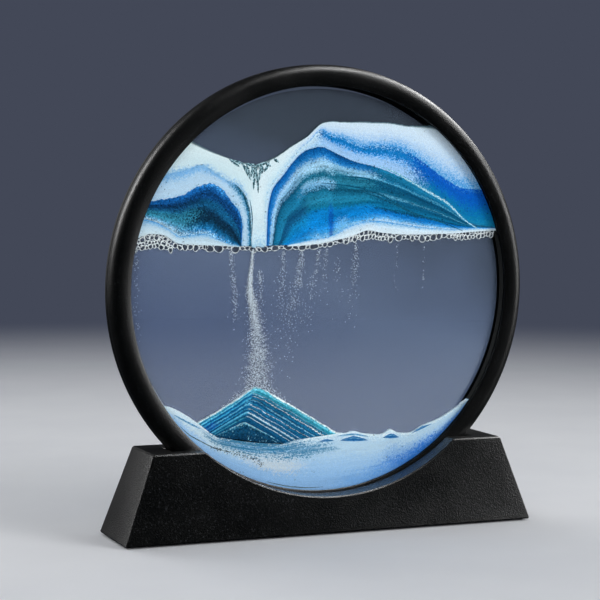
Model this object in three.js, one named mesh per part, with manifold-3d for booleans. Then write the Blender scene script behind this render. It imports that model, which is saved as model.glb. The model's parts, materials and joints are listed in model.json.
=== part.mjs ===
// Moving sand art frame: a round ring with a sealed cell of glass, liquid and sand, standing in a base.
// Millimetres, +Z up. The front faces -Y, and z = 0 is the surface that the rubber feet stand on.
import * as THREE from 'three';
import { mergeVertices } from 'three/addons/utils/BufferGeometryUtils.js';
import Module from 'manifold-3d';

const wasm = await Module();
wasm.setup();

// Ring, across its axis
const ringDiameter = 180;
const ringBand = 8.5; // radial width of the ring as seen from the front
const rimWall = 3; // from the rim in to the pocket that takes the glass
const rimFlat = 1.5; // straight part of the rim each side of the parting line
const crownInset = 4.2; // from the rim in to the highest line of the rounded face

// Ring and cell, along the axis, from the middle outwards
const cellGap = 3.6; // between the two panes
const glassThickness = 2;
const gasketThickness = 0.5;
const lipThickness = 1.5; // from the gasket to the highest line of the face
const lipEdge = 0.6; // straight edge of the lip round the view
const seatGap = 0.1; // between parts that are pressed or bonded together

// Tongue and groove that join the two halves of the ring
const tongueWidth = 1;
const tongueLength = 1.5;
const tongueClearance = 0.12;

// Pane, gasket, spacer and sand, across the axis
const glassClearance = 0.4; // round the pane, in its pocket
const glassChamfer = 0.3;
const gasketInset = 0.5; // the gasket stops this far behind the lip's edge
const spacerWidth = 4;
const sandClearance = 0.3; // between the sand and what it lies against

// Fill port, a radial hole on the parting line with a stepped rubber plug
const portAngle = 35; // degrees up from +X
const plugHeadDiameter = 4.6;
const plugStemDiameter = 2.2;
const plugHeadDepth = 2.4;
const plugClearance = 0.15;
const plugRecess = 0.4; // the plug stays this far below the rim

// Base, a tapered moulding
const baseLength = 176;
const baseTopLength = 151;
const baseDepth = 35.6;
const baseTopDepth = 28;
const baseHeight = 34.6;
const baseWall = 2.2;
const cornerChamfer = 0.9;
const topBevel = 0.7;
const ringSeat = 6.8; // from the base's lower edge up to the lowest point of the ring
const troughWall = 2;
const troughClearance = 0.3; // under the ring
const slotClearance = 0.5; // on each side of the ring
const windowDrop = 6.4; // the base covers the ring from its rim in to this depth
const ribThickness = 1.6;
const ribOffset = 44; // from the middle out to each cross rib

// Plate, screws and feet under the base
const plateThickness = 2;
const plateRecess = 0.3; // above the base's lower edge
const plateClearance = 0.3;
const plateCorner = 2;
const bossDiameter = 6.4;
const screwDiameter = 2.4;
const screwLength = 9;
const screwHeadDiameter = 5;
const screwHeadHeight = 1.1;
const screwRounding = 0.45;
const screwClearance = 0.15;
const screwEndInset = 19; // from the plate's end in to the screws
const screwSideInset = 6.2; // from the plate's long edge in to the screws
const footDiameter = 9;
const footProud = 0.8; // the feet lift the base's lower edge this far
const footPocket = 0.5;
const footClearance = 0.15;
const footEdgeInset = 6.2; // from the plate's edges in to a foot's centre

// Liquid: a film on each pane, joined at the middle where no sand comes as the ring turns
const filmThickness = 0.3;
const coreDiameter = 20;

// Sand and bubbles, drawn for a cell of this radius
const drawnCellRadius = 82.6;
const bubblePitch = 2.3; // along the raft
const bubbleLeast = 1.35; // radius, enough to reach the next one
const bubbleMost = 1.75;
const bubbleFill = 0.52; // radius as a share of its row's height
const bubbleVariety = 0.14; // and how far that share differs from bubble to bubble
const funnelPlace = -28; // the funnel parts the left drift from the right one
const streamPlace = -28.4; // along the cell, under the funnel
const streamTopWidth = 1.4;
const streamFootWidth = 4.6;
const streamFlare = 18; // the stream starts to spread this far above the mound

// How finely round shapes are cut
const ringSegments = 72;
const hiddenSegments = 48; // rings that only show edge on, inside the cell
const boltSegments = 12;
const bubbleSides = 7;
const curveSteps = 3; // straight pieces between two drawn points of a sand line
const crownSteps = 4; // from the rim up to the highest line of the ring's face
const lipSteps = 3; // and from there down to the lip
const driftSteps = 12;
const cornerSteps = 4;
const mergeDistance = 1e-4; // points closer than this are one point

// Sizes that follow from the ones above
const ringRadius = ringDiameter / 2;
const lipRadius = ringRadius - ringBand;
const pocketRadius = ringRadius - rimWall;
const glassRadius = pocketRadius - glassClearance;
const cellRadius = glassRadius - spacerWidth;
const glassInner = cellGap / 2;
const glassOuter = glassInner + glassThickness;
const gasketInner = glassOuter + seatGap;
const gasketOuter = gasketInner + gasketThickness;
const lipInner = gasketOuter + seatGap;
const halfDepth = lipInner + lipThickness;
const filmOuter = glassInner - seatGap;
const filmInner = filmOuter - filmThickness;
const sandDepth = 2 * (filmInner - seatGap);
const sandScale = cellRadius / drawnCellRadius;
const baseBottom = footProud;
const baseTop = baseBottom + baseHeight;
const ringCentre = baseBottom + ringSeat + ringRadius;
const plateBottom = baseBottom + plateRecess;
const plateTop = plateBottom + plateThickness;
const roof = baseTop - baseWall;

const moulded = { color: 0x0e0f11, roughness: 0.42, metalness: 0 };
const rubber = { color: 0x17181a, roughness: 0.85, metalness: 0 };
const foam = { color: 0x232427, roughness: 0.95, metalness: 0 };
const steel = { color: 0x8d9196, roughness: 0.35, metalness: 1 };
const clear = { color: 0xdfe8ee, roughness: 0.05, metalness: 0, transparent: true, opacity: 0.15 };
const silicone = { color: 0x2b2e33, roughness: 0.6, metalness: 0 };
const water = { color: 0xc9d6e6, roughness: 0.05, metalness: 0, transparent: true, opacity: 0.1 };
const air = { color: 0xe4e9ee, roughness: 0.1, metalness: 0, transparent: true, opacity: 0.4 };
const whiteSand = { color: 0xe6ecf0, roughness: 0.95, metalness: 0 };
const paleSand = { color: 0xa9c9ee, roughness: 0.95, metalness: 0 };
const skySand = { color: 0x1477c8, roughness: 0.95, metalness: 0 };
const tealSand = { color: 0x1b6f8e, roughness: 0.95, metalness: 0 };
const navySand = { color: 0x163a60, roughness: 0.95, metalness: 0 };

// A geometry with shared vertices merged, empty triangles dropped and its faces turned outwards.
function closed(geometry) {
  const bare = new THREE.BufferGeometry();
  bare.setAttribute('position', geometry.getAttribute('position').clone());
  bare.setIndex(geometry.index ? geometry.index.clone() : null);
  const merged = mergeVertices(bare, mergeDistance);
  const position = merged.getAttribute('position');
  const corner = [new THREE.Vector3(), new THREE.Vector3(), new THREE.Vector3()];
  const kept = [];
  let volume = 0;
  for (let i = 0; i < merged.index.count; i += 3) {
    const face = [0, 1, 2].map((k) => merged.index.getX(i + k));
    if (new Set(face).size < 3) continue;
    face.forEach((vertex, k) => corner[k].fromBufferAttribute(position, vertex));
    volume += corner[0].dot(corner[1].clone().cross(corner[2]));
    kept.push(face);
  }
  merged.setIndex(kept.flatMap((face) => (volume < 0 ? face.reverse() : face)));
  return merged;
}

function solid(geometry) {
  const whole = closed(geometry);
  const vertProperties = new Float32Array(whole.getAttribute('position').array);
  const triVerts = new Uint32Array(whole.index.array);
  return new wasm.Manifold(new wasm.Mesh({ numProp: 3, vertProperties, triVerts }));
}

function geometryOf(body) {
  const mesh = body.getMesh();
  const geometry = new THREE.BufferGeometry();
  geometry.setAttribute('position', new THREE.BufferAttribute(mesh.vertProperties, 3));
  geometry.setIndex(new THREE.BufferAttribute(mesh.triVerts, 1));
  return geometry;
}

function piece(group, name, geometry, look) {
  const mesh = new THREE.Mesh(geometry.toNonIndexed(), new THREE.MeshStandardMaterial(look));
  mesh.geometry.computeVertexNormals();
  mesh.name = name;
  group.add(mesh);
  return mesh;
}

// A body turned about Y from a closed outline of [radius, y] points.
function turned(outline, segments = ringSegments) {
  const points = outline.map(([radius, y]) => new THREE.Vector2(radius, y));
  points.push(points[0].clone());
  return closed(new THREE.LatheGeometry(points, segments));
}

// A body turned about Z, its outline given as [radius, z] points from the axis out and back to it.
function turnedUpright(outline, segments = boltSegments) {
  const points = outline.map(([radius, z]) => new THREE.Vector2(radius, z));
  return closed(new THREE.LatheGeometry(points, segments).rotateX(Math.PI / 2));
}

// A disc or rod along Y, about the ring's axis unless moved.
function rod(radius, length, segments = ringSegments) {
  return new THREE.CylinderGeometry(radius, radius, length, segments);
}

// An upright rod from one height to another.
function post(diameter, bottom, top, x, y) {
  const geometry = rod(diameter / 2, top - bottom, boltSegments).rotateX(Math.PI / 2);
  return geometry.translate(x, y, (bottom + top) / 2);
}

// A rod that points outwards from the ring's axis at the fill port.
function spoke(diameter, from, to) {
  const geometry = rod(diameter / 2, to - from, boltSegments).rotateZ(-Math.PI / 2);
  geometry.translate((from + to) / 2, 0, 0);
  return geometry.rotateY(-THREE.MathUtils.degToRad(portAngle));
}

// Points of a quarter ellipse, without its first point.
function quarter(centre, reach, fromAngle, steps) {
  const points = [];
  for (let i = 1; i <= steps; i += 1) {
    const angle = fromAngle + (Math.PI / 2) * (i / steps);
    points.push([centre[0] + reach[0] * Math.cos(angle), centre[1] + reach[1] * Math.sin(angle)]);
  }
  return points;
}

// Half of the ring's section from its parting face up: rim, rounded face, lip and pocket.
function bezelOutline(joint) {
  const lipTop = lipInner + lipEdge;
  const crown = ringRadius - crownInset;
  const face = seatGap / 2;
  return [
    [ringRadius, face],
    [ringRadius, rimFlat],
    ...quarter([crown, rimFlat], [crownInset, halfDepth - rimFlat], 0, crownSteps),
    ...quarter([crown, lipTop], [crown - lipRadius, halfDepth - lipTop], Math.PI / 2, lipSteps),
    [lipRadius, lipInner],
    [pocketRadius, lipInner],
    [pocketRadius, face],
    ...joint,
  ];
}

// The step of the parting face, from the pocket out to the rim. A positive reach cuts a groove.
function jointStep(width, reach) {
  const middle = (pocketRadius + ringRadius) / 2;
  const face = seatGap / 2;
  return [
    [middle - width / 2, face],
    [middle - width / 2, face + reach],
    [middle + width / 2, face + reach],
    [middle + width / 2, face],
  ];
}

function makeRing(group) {
  const port = solid(spoke(plugHeadDiameter + 2 * plugClearance, glassRadius, ringRadius + rimWall));
  const groove = jointStep(tongueWidth + 2 * tongueClearance, tongueLength + tongueClearance);
  const tongue = jointStep(tongueWidth, -tongueLength);
  const front = solid(turned(bezelOutline(groove)).rotateX(Math.PI));
  const rear = solid(turned(bezelOutline(tongue)));
  piece(group, 'front_bezel', geometryOf(front.subtract(port)), moulded);
  piece(group, 'rear_bezel', geometryOf(rear.subtract(port)), moulded);
}

function makeCell(group) {
  const pane = [
    [0, glassInner],
    [glassRadius - glassChamfer, glassInner],
    [glassRadius, glassInner + glassChamfer],
    [glassRadius, glassOuter - glassChamfer],
    [glassRadius - glassChamfer, glassOuter],
    [0, glassOuter],
  ];
  const gasket = [
    [lipRadius + gasketInset, gasketInner],
    [glassRadius, gasketInner],
    [glassRadius, gasketOuter],
    [lipRadius + gasketInset, gasketOuter],
  ];
  const spacerFace = glassInner - seatGap;
  const spacer = [
    [cellRadius, -spacerFace],
    [glassRadius, -spacerFace],
    [glassRadius, spacerFace],
    [cellRadius, spacerFace],
  ];
  const stemHole = spoke(plugStemDiameter + 2 * plugClearance, cellRadius - spacerWidth, ringRadius);
  piece(group, 'front_glass', turned(pane).rotateX(Math.PI), clear);
  piece(group, 'rear_glass', turned(pane), clear);
  piece(group, 'front_gasket', turned(gasket, hiddenSegments).rotateX(Math.PI), foam);
  piece(group, 'rear_gasket', turned(gasket, hiddenSegments), foam);
  const spacerRing = solid(turned(spacer, hiddenSegments)).subtract(solid(stemHole));
  piece(group, 'cell_spacer', geometryOf(spacerRing), silicone);
}

// Rubber stopper: a head in the rim and a stem through the spacer into the cell's edge.
function makeFillPlug(group) {
  const headTop = ringRadius - plugRecess;
  const headBottom = headTop - plugHeadDepth;
  const head = solid(spoke(plugHeadDiameter, headBottom, headTop));
  const stem = solid(spoke(plugStemDiameter, cellRadius + sandClearance, headBottom + plugRecess));
  piece(group, 'fill_plug', geometryOf(head.add(stem)), rubber);
}

// A spool: the films lie against the panes, and the core joins them where nothing else passes.
function makeLiquid(group) {
  const edge = cellRadius - sandClearance;
  const core = coreDiameter / 2;
  const spool = [
    [0, -filmOuter],
    [edge, -filmOuter],
    [edge, -filmInner],
    [core, -filmInner],
    [core, filmInner],
    [edge, filmInner],
    [edge, filmOuter],
    [0, filmOuter],
  ];
  piece(group, 'liquid', turned(spool, hiddenSegments), water);
}

// Lines of the sand from left to right, as [x, z] from the ring's centre.
// Each runs past the cell's edge, where the cell cuts it.
const sandLines = {
  surface: [
    [-86, 72], [-55, 58.6], [-42.7, 53.2], [-29.5, 49.8], [-19, 53.7], [-6.9, 61.2], [-0.6, 66.4],
    [9.5, 67.3], [28.8, 67.3], [46, 65.8], [86, 60],
  ],
  underWhite: [
    [-86, 38], [-63, 46.3], [-51.8, 49.3], [-40.4, 43], [-33.8, 38.1], [-31, 27], [-30.4, 10],
    [-25.2, 10], [-24.9, 32.5], [-19.2, 45.4], [-9.3, 56.4], [-0.9, 63.8], [8.2, 61.3], [20.1, 57.5],
    [25.7, 58.1], [35.2, 55.9], [51.3, 46.2], [62.4, 40.7], [86, 39],
  ],
  underSky: [
    [-86, 8], [-25, 8], [-23.2, 32], [-16, 45.5], [-6.5, 55.4], [0.2, 57], [13.2, 51.4], [25.8, 47.6],
    [38.5, 42.4], [56.7, 33.2], [68.5, 24.4], [86, 12],
  ],
  underTeal: [
    [-86, 8], [-22.5, 8], [-19, 18.6], [5.9, 20.8], [12.9, 24.4], [20.3, 27.2], [29, 26.8],
    [41.8, 23.9], [61.2, 21.9], [86, 16],
  ],
  hillTop: [
    [-86, 33], [-72.5, 35.3], [-60.2, 37.5], [-47.4, 42.3], [-39.2, 35.3], [-34.6, 27], [-34, 10],
    [86, 10],
  ],
  hillFoot: [
    [-86, 31], [-68.8, 26.3], [-61, 21.6], [-51.4, 22.7], [-40.3, 18.6], [-33, 12], [86, 8],
  ],
  raftTop: [
    [-86, 18.5], [-78, 20], [-72.5, 22.8], [-66, 22.3], [-60.5, 18.8], [-29, 17.8], [-10, 18],
    [3.3, 19.4], [14.3, 21.6], [23.2, 23.2], [30, 21], [48, 20.8], [64.4, 22], [76, 24], [86, 25.5],
  ],
  raftFoot: [
    [-86, 16], [-72, 16.4], [-46, 15.8], [-10, 15.3], [14.3, 18.2], [48, 18], [76, 20.6], [86, 21.5],
  ],
  moundTop: [
    [-86, -70], [-52.9, -52], [-30.8, -39.6], [-28.1, -39.2], [-23.7, -40.9], [7.1, -59.2], [86, -106],
  ],
  moundMiddle: [[-86, -77], [-47.5, -56.3], [-32.4, -48.3], [-10.9, -60.9], [86, -117]],
  moundCore: [[-86, -74], [-45.4, -57.4], [-33.7, -52.8], [-17, -61.9], [86, -118]],
  bedTop: [
    [-86, -35], [-67.7, -44], [-53, -52], [-45.4, -57.9], [-24.7, -61.5], [-9.2, -60.2], [7.1, -59.4],
    [14.3, -58.7], [26.7, -60.5], [30.9, -58.8], [34.5, -60.2], [40.3, -60.4], [53.5, -55.3],
    [67.4, -47.2], [86, -33],
  ],
};

// Small drifts of blue sand in the bed, as a middle, a width and a height.
const drifts = [
  { x: 2.3, z: -62.6, width: 6.4, height: 1.9 },
  { x: 16.4, z: -62.6, width: 8.6, height: 2.4 },
  { x: 31.2, z: -61.9, width: 5.8, height: 2.2 },
];

// A drawn line as a smooth run of points, scaled to the cell and moved along its normal.
function smoothLine(points, raise = 0) {
  const scaled = points.map(([x, z]) => new THREE.Vector2(x, z).multiplyScalar(sandScale));
  const curve = new THREE.CatmullRomCurve3(
    scaled.map((p) => new THREE.Vector3(p.x, p.y, 0)),
    false,
    'centripetal',
  );
  const count = curveSteps * (points.length - 1);
  const line = [];
  for (let i = 0; i <= count; i += 1) {
    const point = curve.getPoint(i / count);
    const along = curve.getTangent(i / count);
    line.push(new THREE.Vector2(point.x - raise * along.y, point.y + raise * along.x));
  }
  return line;
}

// An outline in the plane of the cell as a slab of the sand's depth.
function slab(outline, depth = sandDepth) {
  const geometry = new THREE.ExtrudeGeometry(new THREE.Shape(outline), {
    depth,
    bevelEnabled: false,
  });
  return solid(geometry.rotateX(Math.PI / 2).translate(0, depth / 2, 0));
}

// Everything below a sand line.
function below(name, raise = 0) {
  const line = smoothLine(sandLines[name], raise);
  const floor = -2 * ringRadius;
  return slab([
    ...line,
    new THREE.Vector2(line.at(-1).x, floor),
    new THREE.Vector2(line[0].x, floor),
  ]);
}

// Everything above a sand line.
function above(name) {
  const line = smoothLine(sandLines[name]);
  const ceiling = 2 * ringRadius;
  return slab([
    new THREE.Vector2(line[0].x, ceiling),
    ...line,
    new THREE.Vector2(line.at(-1).x, ceiling),
  ]);
}

// The sand between an upper line and the lines that cut it off below.
function layer(top, feet, cell) {
  const cuts = feet.map((name) => below(name, sandClearance));
  return cuts.reduce((body, cut) => body.subtract(cut), below(top).intersect(cell));
}

// Everything on one side of the funnel.
function half(side) {
  const width = 2 * ringRadius;
  const box = new THREE.BoxGeometry(width, width, 2 * width);
  return solid(box.translate((side * width) / 2 + funnelPlace * sandScale, 0, 0));
}

function makeUpperSand(group, cell) {
  const left = cell.intersect(half(-1));
  const right = cell.intersect(half(1));
  const layers = [
    ['upper_white_sand', layer('surface', ['underWhite', 'raftTop'], cell), whiteSand],
    ['left_pale_sand', layer('underWhite', ['hillTop', 'raftTop'], left), paleSand],
    ['left_navy_sand', layer('hillTop', ['hillFoot', 'raftTop'], left), navySand],
    ['left_foot_sand', layer('hillFoot', ['raftTop'], left), whiteSand],
    ['right_sky_sand', layer('underWhite', ['underSky', 'raftTop'], right), skySand],
    ['right_teal_sand', layer('underSky', ['underTeal', 'raftTop'], right), tealSand],
    ['right_foot_sand', layer('underTeal', ['raftTop'], right), paleSand],
  ];
  layers.forEach(([name, body, look]) => piece(group, name, geometryOf(body), look));
}

// A low drift with a rounded back, as wide and as high as given, grown by an allowance.
function driftSlab(drift, grow) {
  const shape = [];
  for (let i = 0; i < driftSteps; i += 1) {
    const angle = (2 * Math.PI * i) / driftSteps;
    const x = drift.x + (drift.width / 2) * Math.cos(angle);
    const z = drift.z + (drift.height / 2) * Math.sin(angle);
    shape.push(new THREE.Vector2(
      x * sandScale + grow * Math.cos(angle),
      z * sandScale + grow * Math.sin(angle),
    ));
  }
  return slab(shape);
}

function makeLowerSand(group, cell) {
  const hollows = drifts.map((drift) => driftSlab(drift, sandClearance));
  const bed = hollows.reduce((body, hollow) => body.subtract(hollow), below('bedTop').intersect(cell));
  const layers = [
    ['bed_sand', bed, paleSand],
    ['mound_outer_sand', layer('moundTop', ['moundMiddle', 'bedTop'], cell), skySand],
    ['mound_middle_sand', layer('moundMiddle', ['moundCore', 'bedTop'], cell), tealSand],
    ['mound_core_sand', layer('moundCore', ['bedTop'], cell), navySand],
  ];
  layers.forEach(([name, body, look]) => piece(group, name, geometryOf(body), look));
  drifts.forEach((drift, i) => {
    piece(group, `drift_sand_${i + 1}`, geometryOf(driftSlab(drift, 0)), skySand);
  });
}

// Height of a sand line above a place along the cell, both as drawn.
function heightAt(name, x) {
  const line = sandLines[name];
  const next = line.findIndex((point) => point[0] >= x);
  const [x0, z0] = line[next - 1];
  const [x1, z1] = line[next];
  return z0 + ((z1 - z0) * (x - x0)) / (x1 - x0);
}

// Bubbles pressed flat between the panes, touching in rows that fill the raft.
function makeBubbleRaft(group, cell) {
  const golden = (Math.sqrt(5) - 1) / 2;
  const bubbles = [];
  let count = 0;
  for (let x = -drawnCellRadius + bubblePitch; x < drawnCellRadius; x += bubblePitch) {
    const top = heightAt('raftTop', x) - sandClearance / sandScale;
    const foot = heightAt('raftFoot', x);
    const rows = Math.max(1, Math.round((top - foot) / (2 * bubbleMost)));
    for (let row = 0; row < rows; row += 1) {
      count += 1;
      const share = (count * golden) % 1;
      const room = (top - foot) / rows;
      const wanted = room * (bubbleFill + bubbleVariety * share);
      const radius = THREE.MathUtils.clamp(wanted, bubbleLeast, bubbleMost);
      const low = foot + room * row + radius;
      const z = Math.min(low, top - radius);
      const disc = rod(radius * sandScale, sandDepth, bubbleSides);
      bubbles.push(solid(disc.translate(x * sandScale, 0, z * sandScale)));
    }
  }
  const raft = bubbles.reduce((body, bubble) => body.add(bubble));
  const clearOfSand = raft.subtract(above('raftTop'));
  piece(group, 'bubble_raft', geometryOf(clearOfSand.intersect(cell)), air);
}

// Sand falling from under the raft to the top of the mound, widening as it falls.
function makeStream(group) {
  const x = streamPlace * sandScale;
  const raftDepth = 2 * bubbleMost * sandScale;
  const top = heightAt('raftTop', streamPlace) * sandScale - raftDepth - 2 * sandClearance;
  const foot = heightAt('moundTop', streamPlace) * sandScale + 3 * sandClearance;
  const flare = foot + streamFlare * sandScale;
  const outline = [
    [-streamFootWidth / 2, foot],
    [streamFootWidth / 2, foot],
    [streamTopWidth, flare],
    [streamTopWidth / 2, top],
    [-streamTopWidth / 2, top],
    [-streamTopWidth, flare],
  ];
  const points = outline.map(([across, z]) => new THREE.Vector2(x + across, z));
  piece(group, 'falling_sand', geometryOf(slab(points, sandDepth / 2)), whiteSand);
}

// One level of the base: a rectangle with its corners cut off.
function level(length, depth, corner, z) {
  const x = length / 2;
  const y = depth / 2;
  return [
    [x, y - corner], [x - corner, y], [corner - x, y], [-x, y - corner],
    [-x, corner - y], [corner - x, -y], [x - corner, -y], [x, corner - y],
  ].map(([px, py]) => new THREE.Vector3(px, py, z));
}

// A closed body through a stack of levels with the same number of points.
function loft(levels) {
  const sides = levels[0].length;
  const vertices = levels.flat().flatMap((point) => point.toArray());
  const faces = [];
  for (let i = 0; i + 1 < levels.length; i += 1) {
    for (let k = 0; k < sides; k += 1) {
      const a = i * sides + k;
      const b = i * sides + ((k + 1) % sides);
      faces.push(a, b, b + sides, a, b + sides, a + sides);
    }
  }
  const last = (levels.length - 1) * sides;
  for (let k = 1; k + 1 < sides; k += 1) {
    faces.push(0, k + 1, k, last, last + k, last + k + 1);
  }
  const geometry = new THREE.BufferGeometry();
  geometry.setAttribute('position', new THREE.Float32BufferAttribute(vertices, 3));
  geometry.setIndex(faces);
  return geometry;
}

// Length and depth of the tapered base at a height.
function baseSize(z) {
  const share = (z - baseBottom) / baseHeight;
  return [
    THREE.MathUtils.lerp(baseLength, baseTopLength, share),
    THREE.MathUtils.lerp(baseDepth, baseTopDepth, share),
  ];
}

function baseLevel(z, inset, corner) {
  const [length, depth] = baseSize(z);
  return level(length - 2 * inset, depth - 2 * inset, corner, z);
}

function ringRod(radius, length) {
  return solid(rod(radius, length).translate(0, 0, ringCentre));
}

// The plate's half length and half depth, and the places of its screws and feet.
function plateSize() {
  const [length, depth] = baseSize(plateTop);
  return [length / 2 - baseWall - plateClearance, depth / 2 - baseWall - plateClearance];
}

function corners(endInset, sideInset) {
  const [x, y] = plateSize();
  const names = ['front_left', 'front_right', 'rear_left', 'rear_right'];
  return names.map((name) => ({
    name,
    x: (name.endsWith('left') ? -1 : 1) * (x - endInset),
    y: (name.startsWith('front') ? -1 : 1) * (y - sideInset),
  }));
}

// Tapered shell, open underneath, with a trough for the ring and a curved window front and back.
function makeBaseShell(group) {
  const outer = solid(loft([
    baseLevel(baseBottom, 0, cornerChamfer),
    baseLevel(baseTop - topBevel, 0, cornerChamfer),
    baseLevel(baseTop, topBevel, cornerChamfer),
  ]));
  const hollow = solid(loft([
    baseLevel(baseBottom - baseWall, baseWall, cornerChamfer),
    baseLevel(roof, baseWall, cornerChamfer),
  ]));
  const slotWidth = 2 * (halfDepth + slotClearance);
  const slotRadius = ringRadius + troughClearance;
  const windowRadius = ringRadius - windowDrop;
  const through = 2 * baseDepth;
  const underPlate = solid(
    new THREE.BoxGeometry(2 * baseLength, through, 2 * plateTop)
      .translate(0, 0, seatGap),
  );
  const trough = ringRod(slotRadius + troughWall, slotWidth + 2 * troughWall);
  const sill = ringRod(windowRadius + baseWall, through);
  const ribs = [-1, 1].map((side) => solid(
    new THREE.BoxGeometry(ribThickness, through, baseHeight)
      .translate(side * ribOffset, 0, baseBottom + baseHeight / 2),
  ));
  const screws = corners(screwEndInset, screwSideInset);
  const bosses = screws.map((at) => solid(post(bossDiameter, plateTop, baseTop, at.x, at.y)));
  const pilots = screws.map((at) => solid(
    post(screwDiameter + 2 * screwClearance, plateBottom, plateTop + screwLength, at.x, at.y),
  ));
  const inside = [trough, sill, ...ribs, ...bosses].reduce((body, more) => body.add(more));
  const carried = inside.intersect(outer).subtract(underPlate);
  const shell = outer.subtract(hollow).add(carried);
  const cuts = [ringRod(slotRadius, slotWidth), ringRod(windowRadius, through), ...pilots];
  const body = cuts.reduce((rest, cut) => rest.subtract(cut), shell);
  piece(group, 'base_shell', geometryOf(body), moulded);
}

function makeBasePlate(group) {
  const [x, y] = plateSize();
  const outline = new THREE.Shape();
  outline.absarc(x - plateCorner, y - plateCorner, plateCorner, 0, Math.PI / 2);
  outline.absarc(plateCorner - x, y - plateCorner, plateCorner, Math.PI / 2, Math.PI);
  outline.absarc(plateCorner - x, plateCorner - y, plateCorner, Math.PI, 1.5 * Math.PI);
  outline.absarc(x - plateCorner, plateCorner - y, plateCorner, 1.5 * Math.PI, 2 * Math.PI);
  const blank = new THREE.ExtrudeGeometry(outline, {
    depth: plateThickness,
    bevelEnabled: false,
    curveSegments: cornerSteps,
  });
  const headRoom = screwHeadHeight + screwClearance;
  const holes = corners(screwEndInset, screwSideInset).flatMap((at) => [
    post(screwDiameter + 2 * screwClearance, baseBottom, plateTop + seatGap, at.x, at.y),
    post(screwHeadDiameter + 2 * screwClearance, 0, plateBottom + headRoom, at.x, at.y),
  ]);
  const pockets = corners(footEdgeInset, footEdgeInset).map((at) => (
    post(footDiameter + 2 * footClearance, 0, plateBottom + footPocket, at.x, at.y)
  ));
  const plate = [...holes, ...pockets].reduce(
    (body, hole) => body.subtract(solid(hole)),
    solid(blank.translate(0, 0, plateBottom)),
  );
  piece(group, 'base_plate', geometryOf(plate), moulded);
}

function makeScrews(group) {
  const head = screwHeadDiameter / 2;
  const shank = screwDiameter / 2;
  const tip = screwHeadHeight + screwLength - plateThickness;
  const outline = [
    [0, 0],
    [head - screwRounding, 0],
    [head, screwRounding],
    [head, screwHeadHeight],
    [shank, screwHeadHeight],
    [shank, tip - shank],
    [0, tip],
  ];
  corners(screwEndInset, screwSideInset).forEach((at) => {
    const screw = piece(group, `base_screw_${at.name}`, turnedUpright(outline), steel);
    screw.position.set(at.x, at.y, plateBottom);
  });
}

function makeFeet(group) {
  const radius = footDiameter / 2;
  const height = plateBottom + footPocket - footClearance;
  const rounding = footProud / 2;
  const outline = [
    [0, 0],
    [radius - rounding, 0],
    [radius, rounding],
    [radius, height],
    [0, height],
  ];
  corners(footEdgeInset, footEdgeInset).forEach((at) => {
    const foot = piece(group, `foot_${at.name}`, turnedUpright(outline), rubber);
    foot.position.set(at.x, at.y, 0);
  });
}

const base = new THREE.Group();
makeBaseShell(base);
makeBasePlate(base);
makeScrews(base);
makeFeet(base);

const ring = new THREE.Group();
ring.position.z = ringCentre;
const sandRoom = solid(rod(cellRadius - sandClearance, sandDepth));
makeRing(ring);
makeCell(ring);
makeFillPlug(ring);
makeLiquid(ring);
makeUpperSand(ring, sandRoom);
makeLowerSand(ring, sandRoom);
makeBubbleRaft(ring, sandRoom);
makeStream(ring);

const sandArtFrame = new THREE.Group();
sandArtFrame.add(base, ring);

export default sandArtFrame;
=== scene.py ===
# Moving sand art frame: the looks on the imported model. Metres, +Z up, the front faces -Y.
import json
import math
import random

import bpy
from mathutils import Matrix, Vector


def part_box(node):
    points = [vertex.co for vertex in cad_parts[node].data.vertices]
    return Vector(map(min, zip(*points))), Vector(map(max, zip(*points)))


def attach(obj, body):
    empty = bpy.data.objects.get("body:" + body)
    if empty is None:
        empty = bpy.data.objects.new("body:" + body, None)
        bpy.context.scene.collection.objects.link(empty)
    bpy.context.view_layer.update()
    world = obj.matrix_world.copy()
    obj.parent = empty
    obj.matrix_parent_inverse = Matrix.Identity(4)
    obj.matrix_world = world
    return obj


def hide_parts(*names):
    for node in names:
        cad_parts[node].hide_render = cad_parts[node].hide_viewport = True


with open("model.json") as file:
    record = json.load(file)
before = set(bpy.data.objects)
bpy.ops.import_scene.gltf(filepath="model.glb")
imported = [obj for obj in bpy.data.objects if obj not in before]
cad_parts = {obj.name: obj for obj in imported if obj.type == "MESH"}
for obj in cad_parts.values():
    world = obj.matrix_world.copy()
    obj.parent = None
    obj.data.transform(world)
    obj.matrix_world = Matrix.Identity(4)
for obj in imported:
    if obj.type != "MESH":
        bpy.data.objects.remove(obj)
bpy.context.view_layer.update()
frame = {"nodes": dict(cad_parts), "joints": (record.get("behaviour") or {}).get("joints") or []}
mm = 0.001
print("frame loaded,", len(frame["nodes"]), "nodes")

# The ring turns about Y through this point. Sand is drawn from it, x to the right and z up.
turnJoint = next(joint for joint in frame["joints"] if joint["name"] == "frame_turn")
ringCentre = Vector(turnJoint["pos_m"])
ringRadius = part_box("front_bezel")[1].x / mm
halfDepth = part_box("rear_bezel")[1].y / mm
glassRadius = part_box("front_glass")[1].x / mm
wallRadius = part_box("liquid")[1].x / mm  # the sand reaches out to here


def linear(hexColour):
    channels = [int(hexColour[i:i + 2], 16) / 255 for i in (1, 3, 5)]
    return [c / 12.92 if c <= 0.04045 else ((c + 0.055) / 1.055) ** 2.4 for c in channels] + [1]


# Adds a node. Inputs are sockets to link from or plain values, and stops are a ramp's places and colours.
def addNode(tree, kind, inputs=None, stops=None, **settings):
    node = tree.nodes.new("ShaderNode" + kind)
    for name, value in settings.items():
        setattr(node, name, value)
    for socket, value in (inputs or {}).items():
        if isinstance(value, bpy.types.NodeSocket):
            tree.links.new(value, node.inputs[socket])
        else:
            node.inputs[socket].default_value = value
    for i, (place, colour) in enumerate(stops or []):
        element = node.color_ramp.elements[i] if i < 2 else node.color_ramp.elements.new(place)
        element.position = place
        element.color = linear(colour)
    return node


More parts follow.
